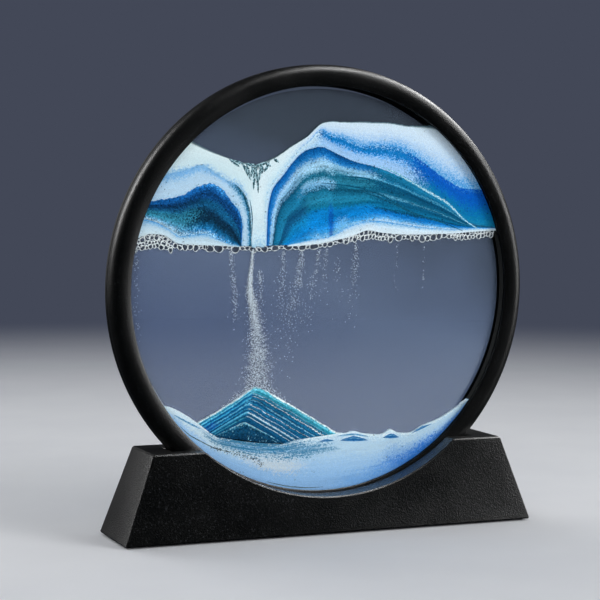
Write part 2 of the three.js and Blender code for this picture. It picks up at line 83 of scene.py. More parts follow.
noiseLow, noiseHigh = 0.3, 0.7  # nearly all of a noise pattern lies between these


# A new material, its nodes and the place in the object that its patterns are drawn from.
def newMaterial(name):
    material = bpy.data.materials.new(name)
    material.use_nodes = True
    tree = material.node_tree
    tree.nodes.clear()
    return material, tree, addNode(tree, "TexCoord").outputs["Object"]


def addObject(name, mesh):
    piece = bpy.data.objects.new(name, mesh)
    bpy.context.scene.collection.objects.link(piece)
    return piece


def clearSelection():
    bpy.ops.object.select_all(action="DESELECT")


def editAll(piece):  # into edit mode with everything selected
    bpy.context.view_layer.objects.active = piece
    bpy.ops.object.mode_set(mode="EDIT")
    bpy.ops.mesh.select_all(action="SELECT")


# Into edit mode with only the polygons or edges that pass a test.
def editOnly(piece, kind, test):
    bpy.context.tool_settings.mesh_select_mode = (False, kind == "edges", kind == "polygons")
    editAll(piece)
    bpy.ops.mesh.select_all(action="DESELECT")
    objectMode()
    for part in getattr(piece.data, kind):
        part.select = test(part)
    bpy.ops.object.mode_set(mode="EDIT")


def editFaces(piece, test):  # by a face's middle and normal
    editOnly(piece, "polygons", lambda face: test(face.center, face.normal))


def editEdges(piece, test):  # by an edge's two ends
    editOnly(piece, "edges", lambda edge: test(*(piece.data.vertices[i].co for i in edge.vertices)))


def objectMode():
    bpy.ops.object.mode_set(mode="OBJECT")


def useModifier(piece, kind, **settings):
    bpy.context.view_layer.objects.active = piece
    modifier = piece.modifiers.new(kind.title(), kind)
    for name, value in settings.items():
        setattr(modifier, name, value)
    bpy.ops.object.modifier_apply(modifier=modifier.name)


def cutAway(piece, cutter):
    useModifier(piece, "BOOLEAN", object=cutter, operation="DIFFERENCE", solver="EXACT")
    bpy.data.objects.remove(cutter)


def applyPlace(piece):  # the object goes back to the origin and its place into the mesh
    clearSelection()
    piece.select_set(True)
    bpy.context.view_layer.objects.active = piece
    bpy.ops.object.transform_apply(location=True, rotation=True, scale=True)


def settle(piece, name, body, material, nodes=(), sharp=35):
    applyPlace(piece)
    bpy.ops.object.shade_smooth_by_angle(angle=math.radians(sharp))
    piece.name = name
    piece.data.materials.clear()
    piece.data.materials.append(material)
    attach(piece, body)
    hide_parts(*nodes)


# A closed outline of (radius, y) in mm, turned about the ring's axis.
def spunRing(outline, steps):
    clearSelection()
    bpy.ops.mesh.primitive_circle_add(vertices=len(outline))
    ring = bpy.context.object
    for vertex, (radius, y) in zip(ring.data.vertices, outline):
        vertex.co = (radius * mm, y * mm, ringCentre.z)
    editAll(ring)
    bpy.ops.mesh.spin(steps=steps, angle=2 * math.pi, center=ringCentre, axis=(0, 1, 0))
    bpy.ops.mesh.select_all(action="SELECT")
    bpy.ops.mesh.remove_doubles(threshold=1e-6)
    bpy.ops.mesh.normals_make_consistent(inside=False)
    objectMode()
    return ring


# A rod along Y about the ring's axis.
def axleRod(radius, length, sides):
    clearSelection()
    bpy.ops.mesh.primitive_cylinder_add(
        vertices=sides, radius=radius * mm, depth=length * mm,
        location=ringCentre, rotation=(math.pi / 2, 0, 0))
    return bpy.context.object


# Rounds the edges about the two faces of a rod along Y.
def roundRims(rod, rounding, segments):
    applyPlace(rod)
    editEdges(rod, lambda a, b: abs(a.y - b.y) < 1e-6)
    bpy.ops.mesh.bevel(offset=rounding * mm, segments=segments)
    objectMode()


# A rod that points outwards from the ring's axis, at an angle up from +X.
def spokeRod(radius, inner, outer, angle, sides):
    clearSelection()
    out = Vector((math.cos(angle), 0, math.sin(angle)))
    bpy.ops.mesh.primitive_cylinder_add(
        vertices=sides, radius=radius * mm, depth=(outer - inner) * mm,
        location=ringCentre + out * (inner + outer) / 2 * mm, rotation=(0, math.pi / 2 - angle, 0))
    return bpy.context.object


# Black ABS from a spark-eroded mould: satin, with a fine pebble grain that breaks up its highlights. The edge
# at edgeRadius from the ring's axis is smoother where a thumb rubs it, and its paler tone there is a painted
# highlight line. Real grain of about 0.1 mm is drawn at 0.4 and 0.55 so that it shows.
absLook = {
    "tones": [(0.44, "#020303"), (0.6, "#060707"), (0.78, "#2a2c2f")], "tonesPerGrain": 0.8, "pit": 0.15,
    "clouding": 14, "roughness": (0.31, 0.43), "polishAndHighlight": 0.16, "polishAndHighlightReach": (0.15, 0.5),
}


def blackAbs(name, grain, relief, edgeRadius, paintedHighlightTone):
    material, tree, spot = newMaterial(name)
    pits = addNode(tree, "TexVoronoi", {"Vector": spot, "Scale": 1 / (grain * mm)})
    speckle = addNode(tree, "TexNoise", {
        "Vector": spot, "Scale": absLook["tonesPerGrain"] / (grain * mm), "Detail": 2})
    cloud = addNode(tree, "TexNoise", {"Vector": spot, "Scale": 1 / (absLook["clouding"] * mm), "Detail": 4})
    colour = addNode(tree, "ValToRGB", {0: speckle.outputs[0]}, stops=absLook["tones"])
    around = addNode(tree, "Mapping", {0: spot, 1: (0, 0, -ringCentre.z), 3: (1, 0, 1)})
    radius = addNode(tree, "VectorMath", {0: around.outputs[0]}, operation="LENGTH")
    off = addNode(tree, "Math", {0: radius.outputs["Value"], 1: edgeRadius * mm}, operation="SUBTRACT")
    off = addNode(tree, "Math", {0: off.outputs[0]}, operation="ABSOLUTE")
    near, far = absLook["polishAndHighlightReach"]
    # mask of the rubbed edge: it makes the edge smoother and gives it a paler tone, a painted highlight line
    polishAndHighlight = addNode(tree, "MapRange", {0: off.outputs[0], 1: near * mm, 2: far * mm, 3: 1.0, 4: 0.0})
    colour = addNode(tree, "Mix", {0: polishAndHighlight.outputs[0], 6: colour.outputs[0], 7: linear(paintedHighlightTone)},
                     data_type="RGBA")
    smooth, dull = absLook["roughness"]
    rough = addNode(tree, "MapRange", {0: cloud.outputs[0], 1: noiseLow, 2: noiseHigh, 3: smooth, 4: dull})
    rough = addNode(tree, "Math", {0: polishAndHighlight.outputs[0], 1: -absLook["polishAndHighlight"], 2: rough.outputs[0]},
                    operation="MULTIPLY_ADD")
    bump = addNode(tree, "Bump", {
        "Height": pits.outputs["Distance"], "Strength": relief, "Distance": absLook["pit"] * mm})
    shader = addNode(tree, "BsdfPrincipled", {
        "Base Color": colour.outputs[2], "Roughness": rough.outputs[0], "Normal": bump.outputs[0],
        "IOR": 1.46, "Specular IOR Level": 0.4})
    addNode(tree, "OutputMaterial", {0: shader.outputs[0]})
    return material


# Nitrile rubber and foam, moulded: dull, a little dusty.
def dustyRubber(name, dark, light):
    material, tree, spot = newMaterial(name)
    dust = addNode(tree, "TexNoise", {"Vector": spot, "Scale": 1 / (1.5 * mm), "Detail": 5})
    colour = addNode(tree, "ValToRGB", {0: dust.outputs[0]}, stops=[(0.35, dark), (0.8, light)])
    bump = addNode(tree, "Bump", {"Height": dust.outputs[0], "Strength": 0.2, "Distance": 0.1 * mm})
    shader = addNode(tree, "BsdfPrincipled", {
        "Base Color": colour.outputs[0], "Roughness": 0.78, "Specular IOR Level": 0.15, "Normal": bump.outputs[0]})
    addNode(tree, "OutputMaterial", {0: shader.outputs[0]})
    return material


# Zinc-plated steel: bright, brushed a little by handling.
def platedSteel(name):
    material, tree, spot = newMaterial(name)
    haze = addNode(tree, "TexNoise", {"Vector": spot, "Scale": 1 / (0.7 * mm), "Detail": 4})
    colour = addNode(tree, "ValToRGB", {0: haze.outputs[0]}, stops=[(0.3, "#8f949b"), (0.75, "#b9bdc2")])
    rough = addNode(tree, "MapRange", {0: haze.outputs[0], 3: 0.24, 4: 0.42})
    shader = addNode(tree, "BsdfPrincipled", {
        "Base Color": colour.outputs[0], "Roughness": rough.outputs[0], "Metallic": 1.0})
    addNode(tree, "OutputMaterial", {0: shader.outputs[0]})
    return material


# Float glass: clear with a polished face, and so thin and clean that it bends nothing and mirrors little.
glassLook = {
    "clear": "#fcfefe", "mirrored": "#f6f9fa", "smear": 22, "smearSpan": (0.4, 0.75), "roughness": (0.01, 0.06),
    "steepness": 5.0, "mirror": (0.008, 0.9),
}


def floatGlass(name):
    material, tree, spot = newMaterial(name)
    (start, end), (smooth, dull) = glassLook["smearSpan"], glassLook["roughness"]
    smear = addNode(tree, "TexNoise", {"Vector": spot, "Scale": 1 / (glassLook["smear"] * mm), "Detail": 4})
    rough = addNode(tree, "MapRange", {0: smear.outputs[0], 1: start, 2: end, 3: smooth, 4: dull})
    clear = addNode(tree, "BsdfTransparent", {"Color": linear(glassLook["clear"])})
    polishAndHighlight = addNode(tree, "BsdfGlossy", {"Color": linear(glassLook["mirrored"]), "Roughness": rough.outputs[0]})
    slant = addNode(tree, "LayerWeight", {"Blend": 0.5}).outputs["Facing"]  # the same on both faces of a pane
    slant = addNode(tree, "Math", {0: slant, 1: glassLook["steepness"]}, operation="POWER")
    facing, grazing = glassLook["mirror"]
    mirror = addNode(tree, "MapRange", {0: slant.outputs[0], 3: facing, 4: grazing})
    mix = addNode(tree, "MixShader", {0: mirror.outputs[0], 1: clear.outputs[0], 2: polishAndHighlight.outputs[0]})
    addNode(tree, "OutputMaterial", {0: mix.outputs[0]})
    return material


# Water in the cell: a lavender grey with painted shading, darker at the top and to the right and lighter lower down, as
# the dark backdrop seen through it, with slow random clouding.
waterLook = {
    "alpha": 0.55, "lean": 2.4, "driftSize": 35, "drift": 0.12,
    "tones": [(0.05, "#546184"), (0.3, "#626f8f"), (0.5, "#707d99"), (0.64, "#636f89"), (0.84, "#464e5a"),
              (1.0, "#3f4651")],
}


def dustyWater(name):
    material, tree, spot = newMaterial(name)
    place = addNode(tree, "SeparateXYZ", {0: spot})
    # painted shading: the grey darkens upwards and to the right
    share = addNode(tree, "MapRange", {0: place.outputs[2], 1: ringCentre.z - wallRadius * mm,
                                       2: ringCentre.z + wallRadius * mm})
    share = addNode(tree, "Math", {0: place.outputs[0], 1: waterLook["lean"], 2: share.outputs[0]},
                    operation="MULTIPLY_ADD")
    drift = addNode(tree, "TexNoise", {"Vector": spot, "Scale": 1 / (waterLook["driftSize"] * mm), "Detail": 3})
    drift = addNode(tree, "MapRange", {0: drift.outputs[0], 3: -waterLook["drift"], 4: waterLook["drift"]})
    share = addNode(tree, "Math", {0: share.outputs[0], 1: drift.outputs[0]})
    colour = addNode(tree, "ValToRGB", {0: share.outputs[0]}, stops=waterLook["tones"])
    shader = addNode(tree, "BsdfPrincipled", {
        "Base Color": colour.outputs[0], "Roughness": 0.6, "IOR": 1.33, "Specular IOR Level": 0.0,
        "Alpha": waterLook["alpha"]})
    addNode(tree, "OutputMaterial", {0: shader.outputs[0]})
    return material


# Air in a thin film of water: a lens whose dark grey is painted, standing for the dark backdrop seen through it, with a
# small glint.
def bubbleAir(name):
    material, tree, spot = newMaterial(name)
    cloud = addNode(tree, "TexNoise", {"Vector": spot, "Scale": 1 / (2 * mm), "Detail": 2})
    colour = addNode(tree, "ValToRGB", {0: cloud.outputs[0]}, stops=[(0.35, "#343a46"), (0.7, "#596070")])
    shader = addNode(tree, "BsdfPrincipled", {
        "Base Color": colour.outputs[0], "Roughness": 0.12, "IOR": 1.33, "Specular IOR Level": 0.3, "Alpha": 0.9})
    addNode(tree, "OutputMaterial", {0: shader.outputs[0]})
    return material


# Dyed quartz sand: matt grains, each one's colour a little off its layer's. Real grains of 0.3 mm are
# drawn at 0.45 so that they show. The UV runs along a layer and up through it, so bands follow the layer.
sandLook = {
    "grain": 0.45, "waveSize": (16, 9), "lineLength": 30, "lineSize": 1.3, "wave": 0.08, "lines": 0.06,
    "stipple": 0.06, "specks": 0.04, "speck": "#0c2a44", "speckStrength": 0.75, "spread": 0.3, "streaky": 0.1,
    "turns": [], "mingle": 0.5, "patches": [], "patchEdge": (0.3, 1.7),
}


def dyedSand(name, ownLook):
    look = {**sandLook, **ownLook}
    material, tree, spot = newMaterial(name)
    uv = addNode(tree, "UVMap").outputs[0]
    split = addNode(tree, "SeparateXYZ", {0: uv})
    along, up = split.outputs[0], split.outputs[1]
    grains = addNode(tree, "TexVoronoi", {"Vector": spot, "Scale": 1 / (look["grain"] * mm)})
    dice = addNode(tree, "SeparateColor", {0: grains.outputs["Color"]})
    # slow waves and thin laminations both run along the layer
    length, depth = look["size"]
    waveLong, waveDeep = look["waveSize"]
    wavePlace = addNode(tree, "Mapping", {0: uv, 3: (length / waveLong, depth / waveDeep, 1)})
    wave = addNode(tree, "TexNoise", {"Vector": wavePlace.outputs[0], "Scale": 1.0, "Detail": 3})
    linePlace = addNode(tree, "Mapping", {0: uv, 3: (length / look["lineLength"], depth / look["lineSize"], 1)})
    lines = addNode(tree, "TexNoise", {"Vector": linePlace.outputs[0], "Scale": 1.0, "Detail": 4, "Roughness": 0.6})
    height = up
    for pattern, strength in ((wave, look["wave"]), (lines, look["lines"]), (dice, look["stipple"])):
        height = addNode(tree, "Math", {0: pattern.outputs[0], 1: strength, 2: height},
                         operation="MULTIPLY_ADD").outputs[0]
    height = addNode(tree, "Math", {0: height, 1: (look["wave"] + look["lines"] + look["stipple"]) / 2},
                     operation="SUBTRACT").outputs[0]
    colour = addNode(tree, "ValToRGB", {0: height}, stops=look["bands"][0]).outputs[0]
    for stops, (start, end) in zip(look["bands"][1:], look["turns"]):  # other bands further along
        far = addNode(tree, "ValToRGB", {0: height}, stops=stops).outputs[0]
        turn = addNode(tree, "MapRange", {0: along, 1: start, 2: end}, interpolation_type="SMOOTHSTEP")
        turn = addNode(tree, "Math", {0: dice.outputs[1], 1: -look["mingle"], 2: turn.outputs[0]},
                       operation="MULTIPLY_ADD")
        turn = addNode(tree, "MapRange", {0: turn.outputs[0], 1: 0.0, 2: 1 - look["mingle"]})
        colour = addNode(tree, "Mix", {0: turn.outputs[0], 6: colour, 7: far}, data_type="RGBA").outputs[2]
    inside, outside = look["patchEdge"]
    for patch in look["patches"]:  # other sand by its middle and reach in UV
        away = 0.0
        for place, middle, reach in zip((along, height), patch["at"], patch["reach"]):
            off = addNode(tree, "Math", {0: place, 1: middle}, operation="SUBTRACT")
            off = addNode(tree, "Math", {0: off.outputs[0], 1: reach}, operation="DIVIDE")
            away = addNode(tree, "Math", {0: off.outputs[0], 1: off.outputs[0], 2: away},
                           operation="MULTIPLY_ADD").outputs[0]
        streaks = patch.get("streaks", 0)  # broken up along the laminations
        for pattern, strength in ((dice.outputs[2], patch.get("loose", 0.8)), (lines.outputs[0], -streaks)):
            away = addNode(tree, "Math", {0: pattern, 1: strength, 2: away}, operation="MULTIPLY_ADD").outputs[0]
        away = addNode(tree, "Math", {0: away, 1: streaks / 2}).outputs[0]
        mask = addNode(tree, "MapRange", {0: away, 1: inside, 2: outside, 3: patch["strength"], 4: 0.0},
                       interpolation_type="SMOOTHSTEP")
        colour = addNode(tree, "Mix", {0: mask.outputs[0], 6: colour, 7: linear(patch["colour"])},
                         data_type="RGBA").outputs[2]
    if "edge" in look:  # a thin dark line along the free surface
        edge = look["edge"]
        rise = addNode(tree, "Math", {0: lines.outputs[0], 1: edge["width"], 2: up}, operation="MULTIPLY_ADD")
        rise = addNode(tree, "MapRange", {0: rise.outputs[0], 1: 1 - edge["fade"] * edge["width"], 2: 1.0,
                                          4: edge["strength"]})
        colour = addNode(tree, "Mix", {0: rise.outputs[0], 6: colour, 7: linear(edge["colour"])},
                         data_type="RGBA").outputs[2]
    speck = addNode(tree, "MapRange", {0: dice.outputs[2], 1: 1 - look["specks"], 2: 1.0, 4: look["speckStrength"]})
    colour = addNode(tree, "Mix", {0: speck.outputs[0], 6: colour, 7: linear(look["speck"])},
                     data_type="RGBA").outputs[2]
    spread, streaky = look["spread"], look["streaky"]
    shade = addNode(tree, "MapRange", {0: dice.outputs[1], 3: 1 - spread / 2, 4: 1 + spread / 2})
    streak = addNode(tree, "MapRange", {0: lines.outputs[0], 1: noiseLow, 2: noiseHigh, 3: 1 - streaky,
                                        4: 1 + streaky})
    shade = addNode(tree, "Math", {0: shade.outputs[0], 1: streak.outputs[0]}, operation="MULTIPLY")
    colour = addNode(tree, "HueSaturation", {"Value": shade.outputs[0], "Color": colour}).outputs[0]
    bump = addNode(tree, "Bump", {"Height": grains.outputs["Distance"], "Strength": 0.35, "Distance": 0.15 * mm},
                   invert=True)
    shader = addNode(tree, "BsdfPrincipled", {
        "Base Color": colour, "Roughness": 0.85, "Specular IOR Level": 0.05, "Normal": bump.outputs[0]})
    addNode(tree, "OutputMaterial", {0: shader.outputs[0]})
    return material


# Two halves of the ring, with a fill port through the parting line
ringLook = {
    "steps": 256, "band": 8.5, "rimFlat": 1.5, "crownInset": 4.2, "crownSteps": 12,
    "lipRounding": 0.6, "lipLean": math.radians(25), "lipSteps": 5, "lipGap": 0.1,
    "partingGap": 0.05, "partingBevel": 0.25, "pocketClearance": 0.4,
    "portAngle": math.radians(35), "portRadius": 2.45, "portSides": 32, "portReach": 3,
}


def arcPoints(centre, reach, start, turn, steps):
    angles = [start + turn * i / steps for i in range(1, steps + 1)]
    return [(centre[0] + reach[0] * math.cos(a), centre[1] + reach[1] * math.sin(a)) for a in angles]


def makeBezel(half, side):
    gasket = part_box(half + "_gasket")[0 if side < 0 else 1]
    lipInner = abs(gasket.y) / mm + ringLook["lipGap"]
    rounding, lean = ringLook["lipRounding"], ringLook["lipLean"]
    lipTop = lipInner + rounding * math.cos(lean)
    crown = ringRadius - ringLook["crownInset"]
    lip = ringRadius - ringLook["band"]
    edge = lip + rounding * (1 - math.sin(lean))  # where the crown's slope runs into the lip's round edge
    pocket = glassRadius + ringLook["pocketClearance"]
    gap, bevel, flat = ringLook["partingGap"], ringLook["partingBevel"], ringLook["rimFlat"]
    steps = ringLook["crownSteps"]
    slope = [i / steps for i in range(1, steps + 1)]
    outline = [
        (ringRadius - bevel, gap),
        (ringRadius, gap + bevel),
        (ringRadius, flat),
        *arcPoints((crown, flat), (ringRadius - crown, halfDepth - flat), 0, math.pi / 2, steps),
        *[(crown + (edge - crown) * down, halfDepth - (halfDepth - lipTop) * down ** 2) for down in slope],
        *arcPoints((lip + rounding, lipInner), (rounding, rounding), math.pi / 2 + lean, math.pi / 2 - lean,
                   ringLook["lipSteps"]),
        (pocket, lipInner),
        (pocket, gap),
    ]
    bezel = spunRing([(radius, side * y) for radius, y in outline], ringLook["steps"])
    cutAway(bezel, spokeRod(ringLook["portRadius"], glassRadius, ringRadius + ringLook["portReach"],
                            ringLook["portAngle"], ringLook["portSides"]))
    settle(bezel, half + "Bezel", "ring_frame", ringAbs, [half + "_bezel"], sharp=40)


ringAbs = blackAbs("blackAbsFine", grain=0.4, relief=0.4, edgeRadius=ringRadius - ringLook["band"],
                   paintedHighlightTone="#0a0b0b")
makeBezel("front", -1)
makeBezel("rear", 1)
print("ring halves done")

# Rubber stopper in the port, with a dimple to lift it by and a stem inwards
plugLook = {
    "sides": 40, "radius": 2.3, "head": 2.4, "recess": 0.4, "inset": 1.15, "dimple": 0.7, "stem": 4.4, "rounding": 0.3,
}


def makePlug():
    top = ringRadius - plugLook["recess"]
    angle = ringLook["portAngle"]
    out = Vector((math.cos(angle), 0, math.sin(angle)))
    plug = spokeRod(plugLook["radius"], top - plugLook["head"], top, angle, plugLook["sides"])
    applyPlace(plug)
    for end, reach in ((out, -plugLook["dimple"]), (-out, plugLook["stem"])):
        editFaces(plug, lambda middle, normal: normal.dot(end) > 0.9)
        bpy.ops.mesh.inset(thickness=plugLook["inset"] * mm)
        bpy.ops.mesh.extrude_region_shrink_fatten(TRANSFORM_OT_shrink_fatten={"value": reach * mm})
        objectMode()
    useModifier(plug, "BEVEL", width=plugLook["rounding"] * mm, segments=3, limit_method="ANGLE",
                angle_limit=math.radians(50))
    settle(plug, "fillPlug", "ring_frame", plugRubber, ["fill_plug"])


plugRubber = dustyRubber("nitrileRubber", "#131416", "#2a2b2d")
makePlug()

# Panes, cushion gaskets and the spacer that seals the cell's edge
cellLook = {
    "paneSides": 192, "paneChamfer": 0.3, "sealSteps": 192, "sealRounding": 0.08,
    "gasketInset": 0.5, "spacerInset": 0.3,
}


def makePane(name, node):
    low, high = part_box(node)
    pane = axleRod(glassRadius, (high.y - low.y) / mm, cellLook["paneSides"])
    pane.location.y = (low.y + high.y) / 2
    roundRims(pane, cellLook["paneChamfer"], 2)
    settle(pane, name, "ring_frame", glass, [node], sharp=8)


def makeSeal(name, node, inner, material):
    low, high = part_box(node)
    r, near, far, outer = cellLook["sealRounding"], low.y / mm, high.y / mm, high.x / mm
    outline = [
        (inner + r, near), (outer - r, near), (outer, near + r), (outer, far - r),
        (outer - r, far), (inner + r, far), (inner, far - r), (inner, near + r),
    ]
    seal = spunRing(outline, cellLook["sealSteps"])
    settle(seal, name, "ring_frame", material, [node])


glass = floatGlass("floatGlass")
foam = dustyRubber("cellFoam", "#08090a", "#121314")
silicone = dustyRubber("greySilicone", "#0a0b0c", "#15171a")
makePane("frontGlass", "front_glass")
makePane("rearGlass", "rear_glass")
gasketInner = ringRadius - ringLook["band"] + cellLook["gasketInset"]
makeSeal("frontGasket", "front_gasket", gasketInner, foam)
makeSeal("rearGasket", "rear_gasket", gasketInner, foam)
makeSeal("cellSpacer", "cell_spacer", wallRadius + cellLook["spacerInset"], silicone)
print("cell done")

# Liquid, seen as a faint sheet at the middle of the cell. It stays level while the ring turns.
liquidLook = {"sides": 160, "thickness": 0.4, "radius": 80.4, "rounding": 0.12}


def makeLiquid():
    sheet = axleRod(liquidLook["radius"], liquidLook["thickness"], liquidLook["sides"])
    roundRims(sheet, liquidLook["rounding"], 3)
    settle(sheet, "liquidSheet", "liquid_fill", dustyWater("dustyWater"), ["liquid"], sharp=8)


makeLiquid()


# A point on a smooth line through the given ones, at a share of the way along it.
def alongLine(points, share):
    place = share * (len(points) - 1)
    i = min(int(place), len(points) - 2)
    t = place - i
    p0, p1, p2, p3 = (Vector(points[min(max(k, 0), len(points) - 1)]) for k in range(i - 1, i + 3))
    return (2 * p1 + (p2 - p0) * t + (2 * p0 - 5 * p1 + 4 * p2 - p3) * t ** 2
            + (3 * p1 - p0 - 3 * p2 + p3) * t ** 3) / 2


# A slab of sand between two lines. Stations pair a point of its top with one of its foot, in mm.
slabLook = {"columns": 12, "rows": 10, "walls": [], "wallStart": 0.8, "lap": 0, "rough": 0, "ragged": 0}


def sandSlab(ownLook):
    look = {**slabLook, **ownLook}
    tops = [Vector(top) for top, foot in look["stations"]]
    feet = [Vector(foot) for top, foot in look["stations"]]
    clearSelection()
    bpy.ops.mesh.primitive_grid_add(
        x_subdivisions=look["columns"] * (len(tops) - 1), y_subdivisions=look["rows"], size=2)
    sand = bpy.context.object
    dice = random.Random(look["name"])
    for vertex in sand.data.vertices:
        along, up = (vertex.co.x + 1) / 2, (vertex.co.y + 1) / 2
        spot = alongLine(feet, along).lerp(alongLine(tops, along), up)
        for wall in look["walls"]:  # an end at the cell's wall takes the wall's curve
            last, near = (0, 1 - along) if wall == "left" else (-1, along)
            end = feet[last].lerp(tops[last], up)
            bend = max(0, (near - look["wallStart"]) / (1 - look["wallStart"])) ** 2
            spot += end * (wallRadius / end.length - 1) * bend
        if up > 0.999:  # the top laps under the layer above, whose ragged foot covers it
            spot.y += look["lap"] + dice.uniform(-1, 1) * look["rough"]
        if up < 0.001:
            spot.y += dice.uniform(-1, 1) * look["ragged"]
        vertex.co = (spot.x * mm, 0, ringCentre.z + spot.y * mm)
    useModifier(sand, "SOLIDIFY", thickness=look["thickness"] * mm, offset=0)
    editAll(sand)
    bpy.ops.mesh.normals_make_consistent(inside=False)
    objectMode()
    return sand


def makeSandLayer(look):
    material = dyedSand(look["name"] + "Quartz", look)
    settle(sandSlab(look), look["name"], "ring_frame", material, look["nodes"])


def joinAll(pieces):
    clearSelection()
    for piece in pieces:
        piece.select_set(True)
    bpy.context.view_layer.objects.active = pieces[0]
    bpy.ops.object.join()
    return bpy.context.object


# Lines that the sand lies along, drawn from left to right. The foot of one layer is the top of the next.
whiteTop = [
    (-57, 59.4), (-52, 57), (-46, 54.4), (-41, 52.6), (-37, 51.3), (-34, 50.6), (-32, 50.2), (-30.8, 49.9),
    (-30, 49.8), (-29.6, 49.7), (-29.2, 49.7), (-28.8, 49.7), (-28.2, 49.8), (-27.4, 50), (-26.4, 50.4), (-25, 50.9),
    (-22.5, 52), (-19, 53.7), (-14, 57), (-7, 61.1), (-1.4, 66), (3, 67.4), (9.5, 67.3), (16.2, 67.5), (23, 67.4),
    (30, 67.2), (37, 66.3), (43, 66.2), (46, 66.2), (47.6, 66.2), (48.6, 66.2), (49, 66.1),
]
whiteFoot = [
    (-69, 44.8), (-62.5, 46.6), (-56, 48.4), (-51.5, 49.4), (-46, 46.4), (-40.4, 43.2), (-36.8, 41.6), (-33.8, 38),
    (-31.6, 32), (-30.8, 25), (-30.5, 17.6), (-28, 17.4), (-25, 17.6), (-24.8, 25), (-24.7, 32), (-23.2, 39.5),
    (-19.2, 45.2), (-14.5, 50.8), (-9.6, 56), (-5, 60), (-0.9, 63.9), (3.5, 61.9), (8.6, 60.9), (14.5, 58.6),
    (20.1, 57.6), (26.5, 58), (35.2, 56.6), (44.5, 51.6), (51.5, 46.6), (57, 43.4), (62.4, 40.8), (71.9, 40),
]
leftPaleFoot = [
    (-74.2, 35.6), (-68.5, 35.9), (-60.2, 37.5), (-53.2, 41.1), (-47.4, 42.3), (-42.7, 39.7), (-39.2, 35.3),
    (-35.8, 31.2), (-34.5, 26.5), (-34.6, 22), (-34.9, 17.6),
]
leftNavyFoot = [
    (-77, 29), (-70.5, 27.2), (-65, 24.4), (-61, 21.8), (-55, 22.2), (-50, 22.6), (-45.6, 20.8), (-42, 19.2),
    (-39.5, 18.2), (-37.2, 17.8), (-35.6, 17.5),
]
leftLowest = [
    (-79.9, 19.8), (-74, 22.4), (-67, 22), (-61.5, 18.9), (-55, 18.3), (-50, 18), (-45.5, 17.8), (-42, 17.7),
    (-39.5, 17.5), (-36, 17.2),
]
rightSkyFoot = [
    (-24.2, 17.6), (-24, 25), (-23.6, 32.4), (-21.6, 40.2), (-17.2, 45.6), (-12.6, 51.4), (-8.2, 55.2), (-4.2, 56.6),
    (0.2, 57), (5.8, 54.6), (10.5, 52.6), (15.5, 50.9), (21, 49.8), (27.5, 47.9), (36.6, 44.4), (44.3, 40.4),
    (53.3, 35.8), (59.9, 31.2), (66.5, 26.6), (78.6, 24.4),
]
rightTealFoot = [
    (-15, 17.8), (-12.5, 18.3), (-10.5, 18.7), (-8.5, 19.1), (-6.5, 19.5), (-4.5, 19.9), (-2.6, 20.2), (-0.6, 20.5),
    (2.2, 21), (6.2, 22.4), (10.3, 24.8), (15.2, 26.4), (20.3, 27.3), (26.5, 27.1), (36, 25.8), (44.5, 24.6),
    (53, 23.9), (60, 23.6), (67, 23.8), (78.7, 24),
]
rightLowest = [
    (-15, 17.2), (-8.5, 17.5), (-2.6, 18), (2.2, 18.8), (6.2, 19.6), (10.3, 20.4), (15.2, 21.9), (20.3, 23.4),
    (26.5, 22.4), (36, 21.6), (44.5, 21.5), (53, 21.7), (60, 21.9), (67, 22.4), (79.2, 23),
]
moundTop = [
    (-53.2, -52.2), (-48, -49.6), (-43.3, -47.3), (-38.5, -44.6), (-34.5, -42.1), (-31, -39.9), (-28.6, -39),
    (-26.2, -39.6), (-22.5, -41.5), (-16, -45.1), (-9, -49.2), (-2, -53.4), (7.4, -59.3),
]
moundOuterFoot = [
    (-47.8, -56.5), (-44.5, -54.6), (-41.5, -53), (-38.5, -51.4), (-35.6, -49.9), (-33.6, -48.9), (-32, -48.4),
    (-30, -49.3), (-27, -51.1), (-22.8, -53.6), (-18.8, -56), (-15, -58.4), (-10.6, -61),
]
moundMiddleFoot = [
    (-45.6, -57.7), (-43.2, -56.6), (-40.8, -55.6), (-38.4, -54.6), (-36.2, -53.7), (-34.6, -53), (-33.4, -52.8),
    (-32, -53.3), (-29.6, -54.6), (-26.2, -56.5), (-22.8, -58.4), (-19.8, -60.2), (-16.6, -62.2),
]
moundCoreFoot = [
    (-45.4, -58.2), (-42.6, -58.8), (-40, -59.3), (-37.6, -59.8), (-35.4, -60.2), (-33.2, -60.6), (-31.2, -60.9),
    (-29.2, -61.2), (-27, -61.5), (-24.4, -61.8), (-21.8, -62), (-19.2, -62.2), (-16.4, -62.4),
]
bedTop = [
    (-69, -44.4), (-63.5, -45.9), (-57.1, -49.5), (-51.5, -53.6), (-45.4, -57.9), (-35.6, -59.7), (-24.7, -61.5),
    (-17.5, -61.8), (-9.2, -60.2), (-1.4, -59.5), (6, -58.9), (10.7, -59.3), (14.3, -58.7), (19.4, -59.9),
    (26.7, -60.5), (30.9, -58.8), (34.5, -60.2), (40.3, -60.4), (45.6, -57.9), (53.5, -55.1), (61.6, -50.8),
    (65.4, -48.7), (67.1, -47.8),
]

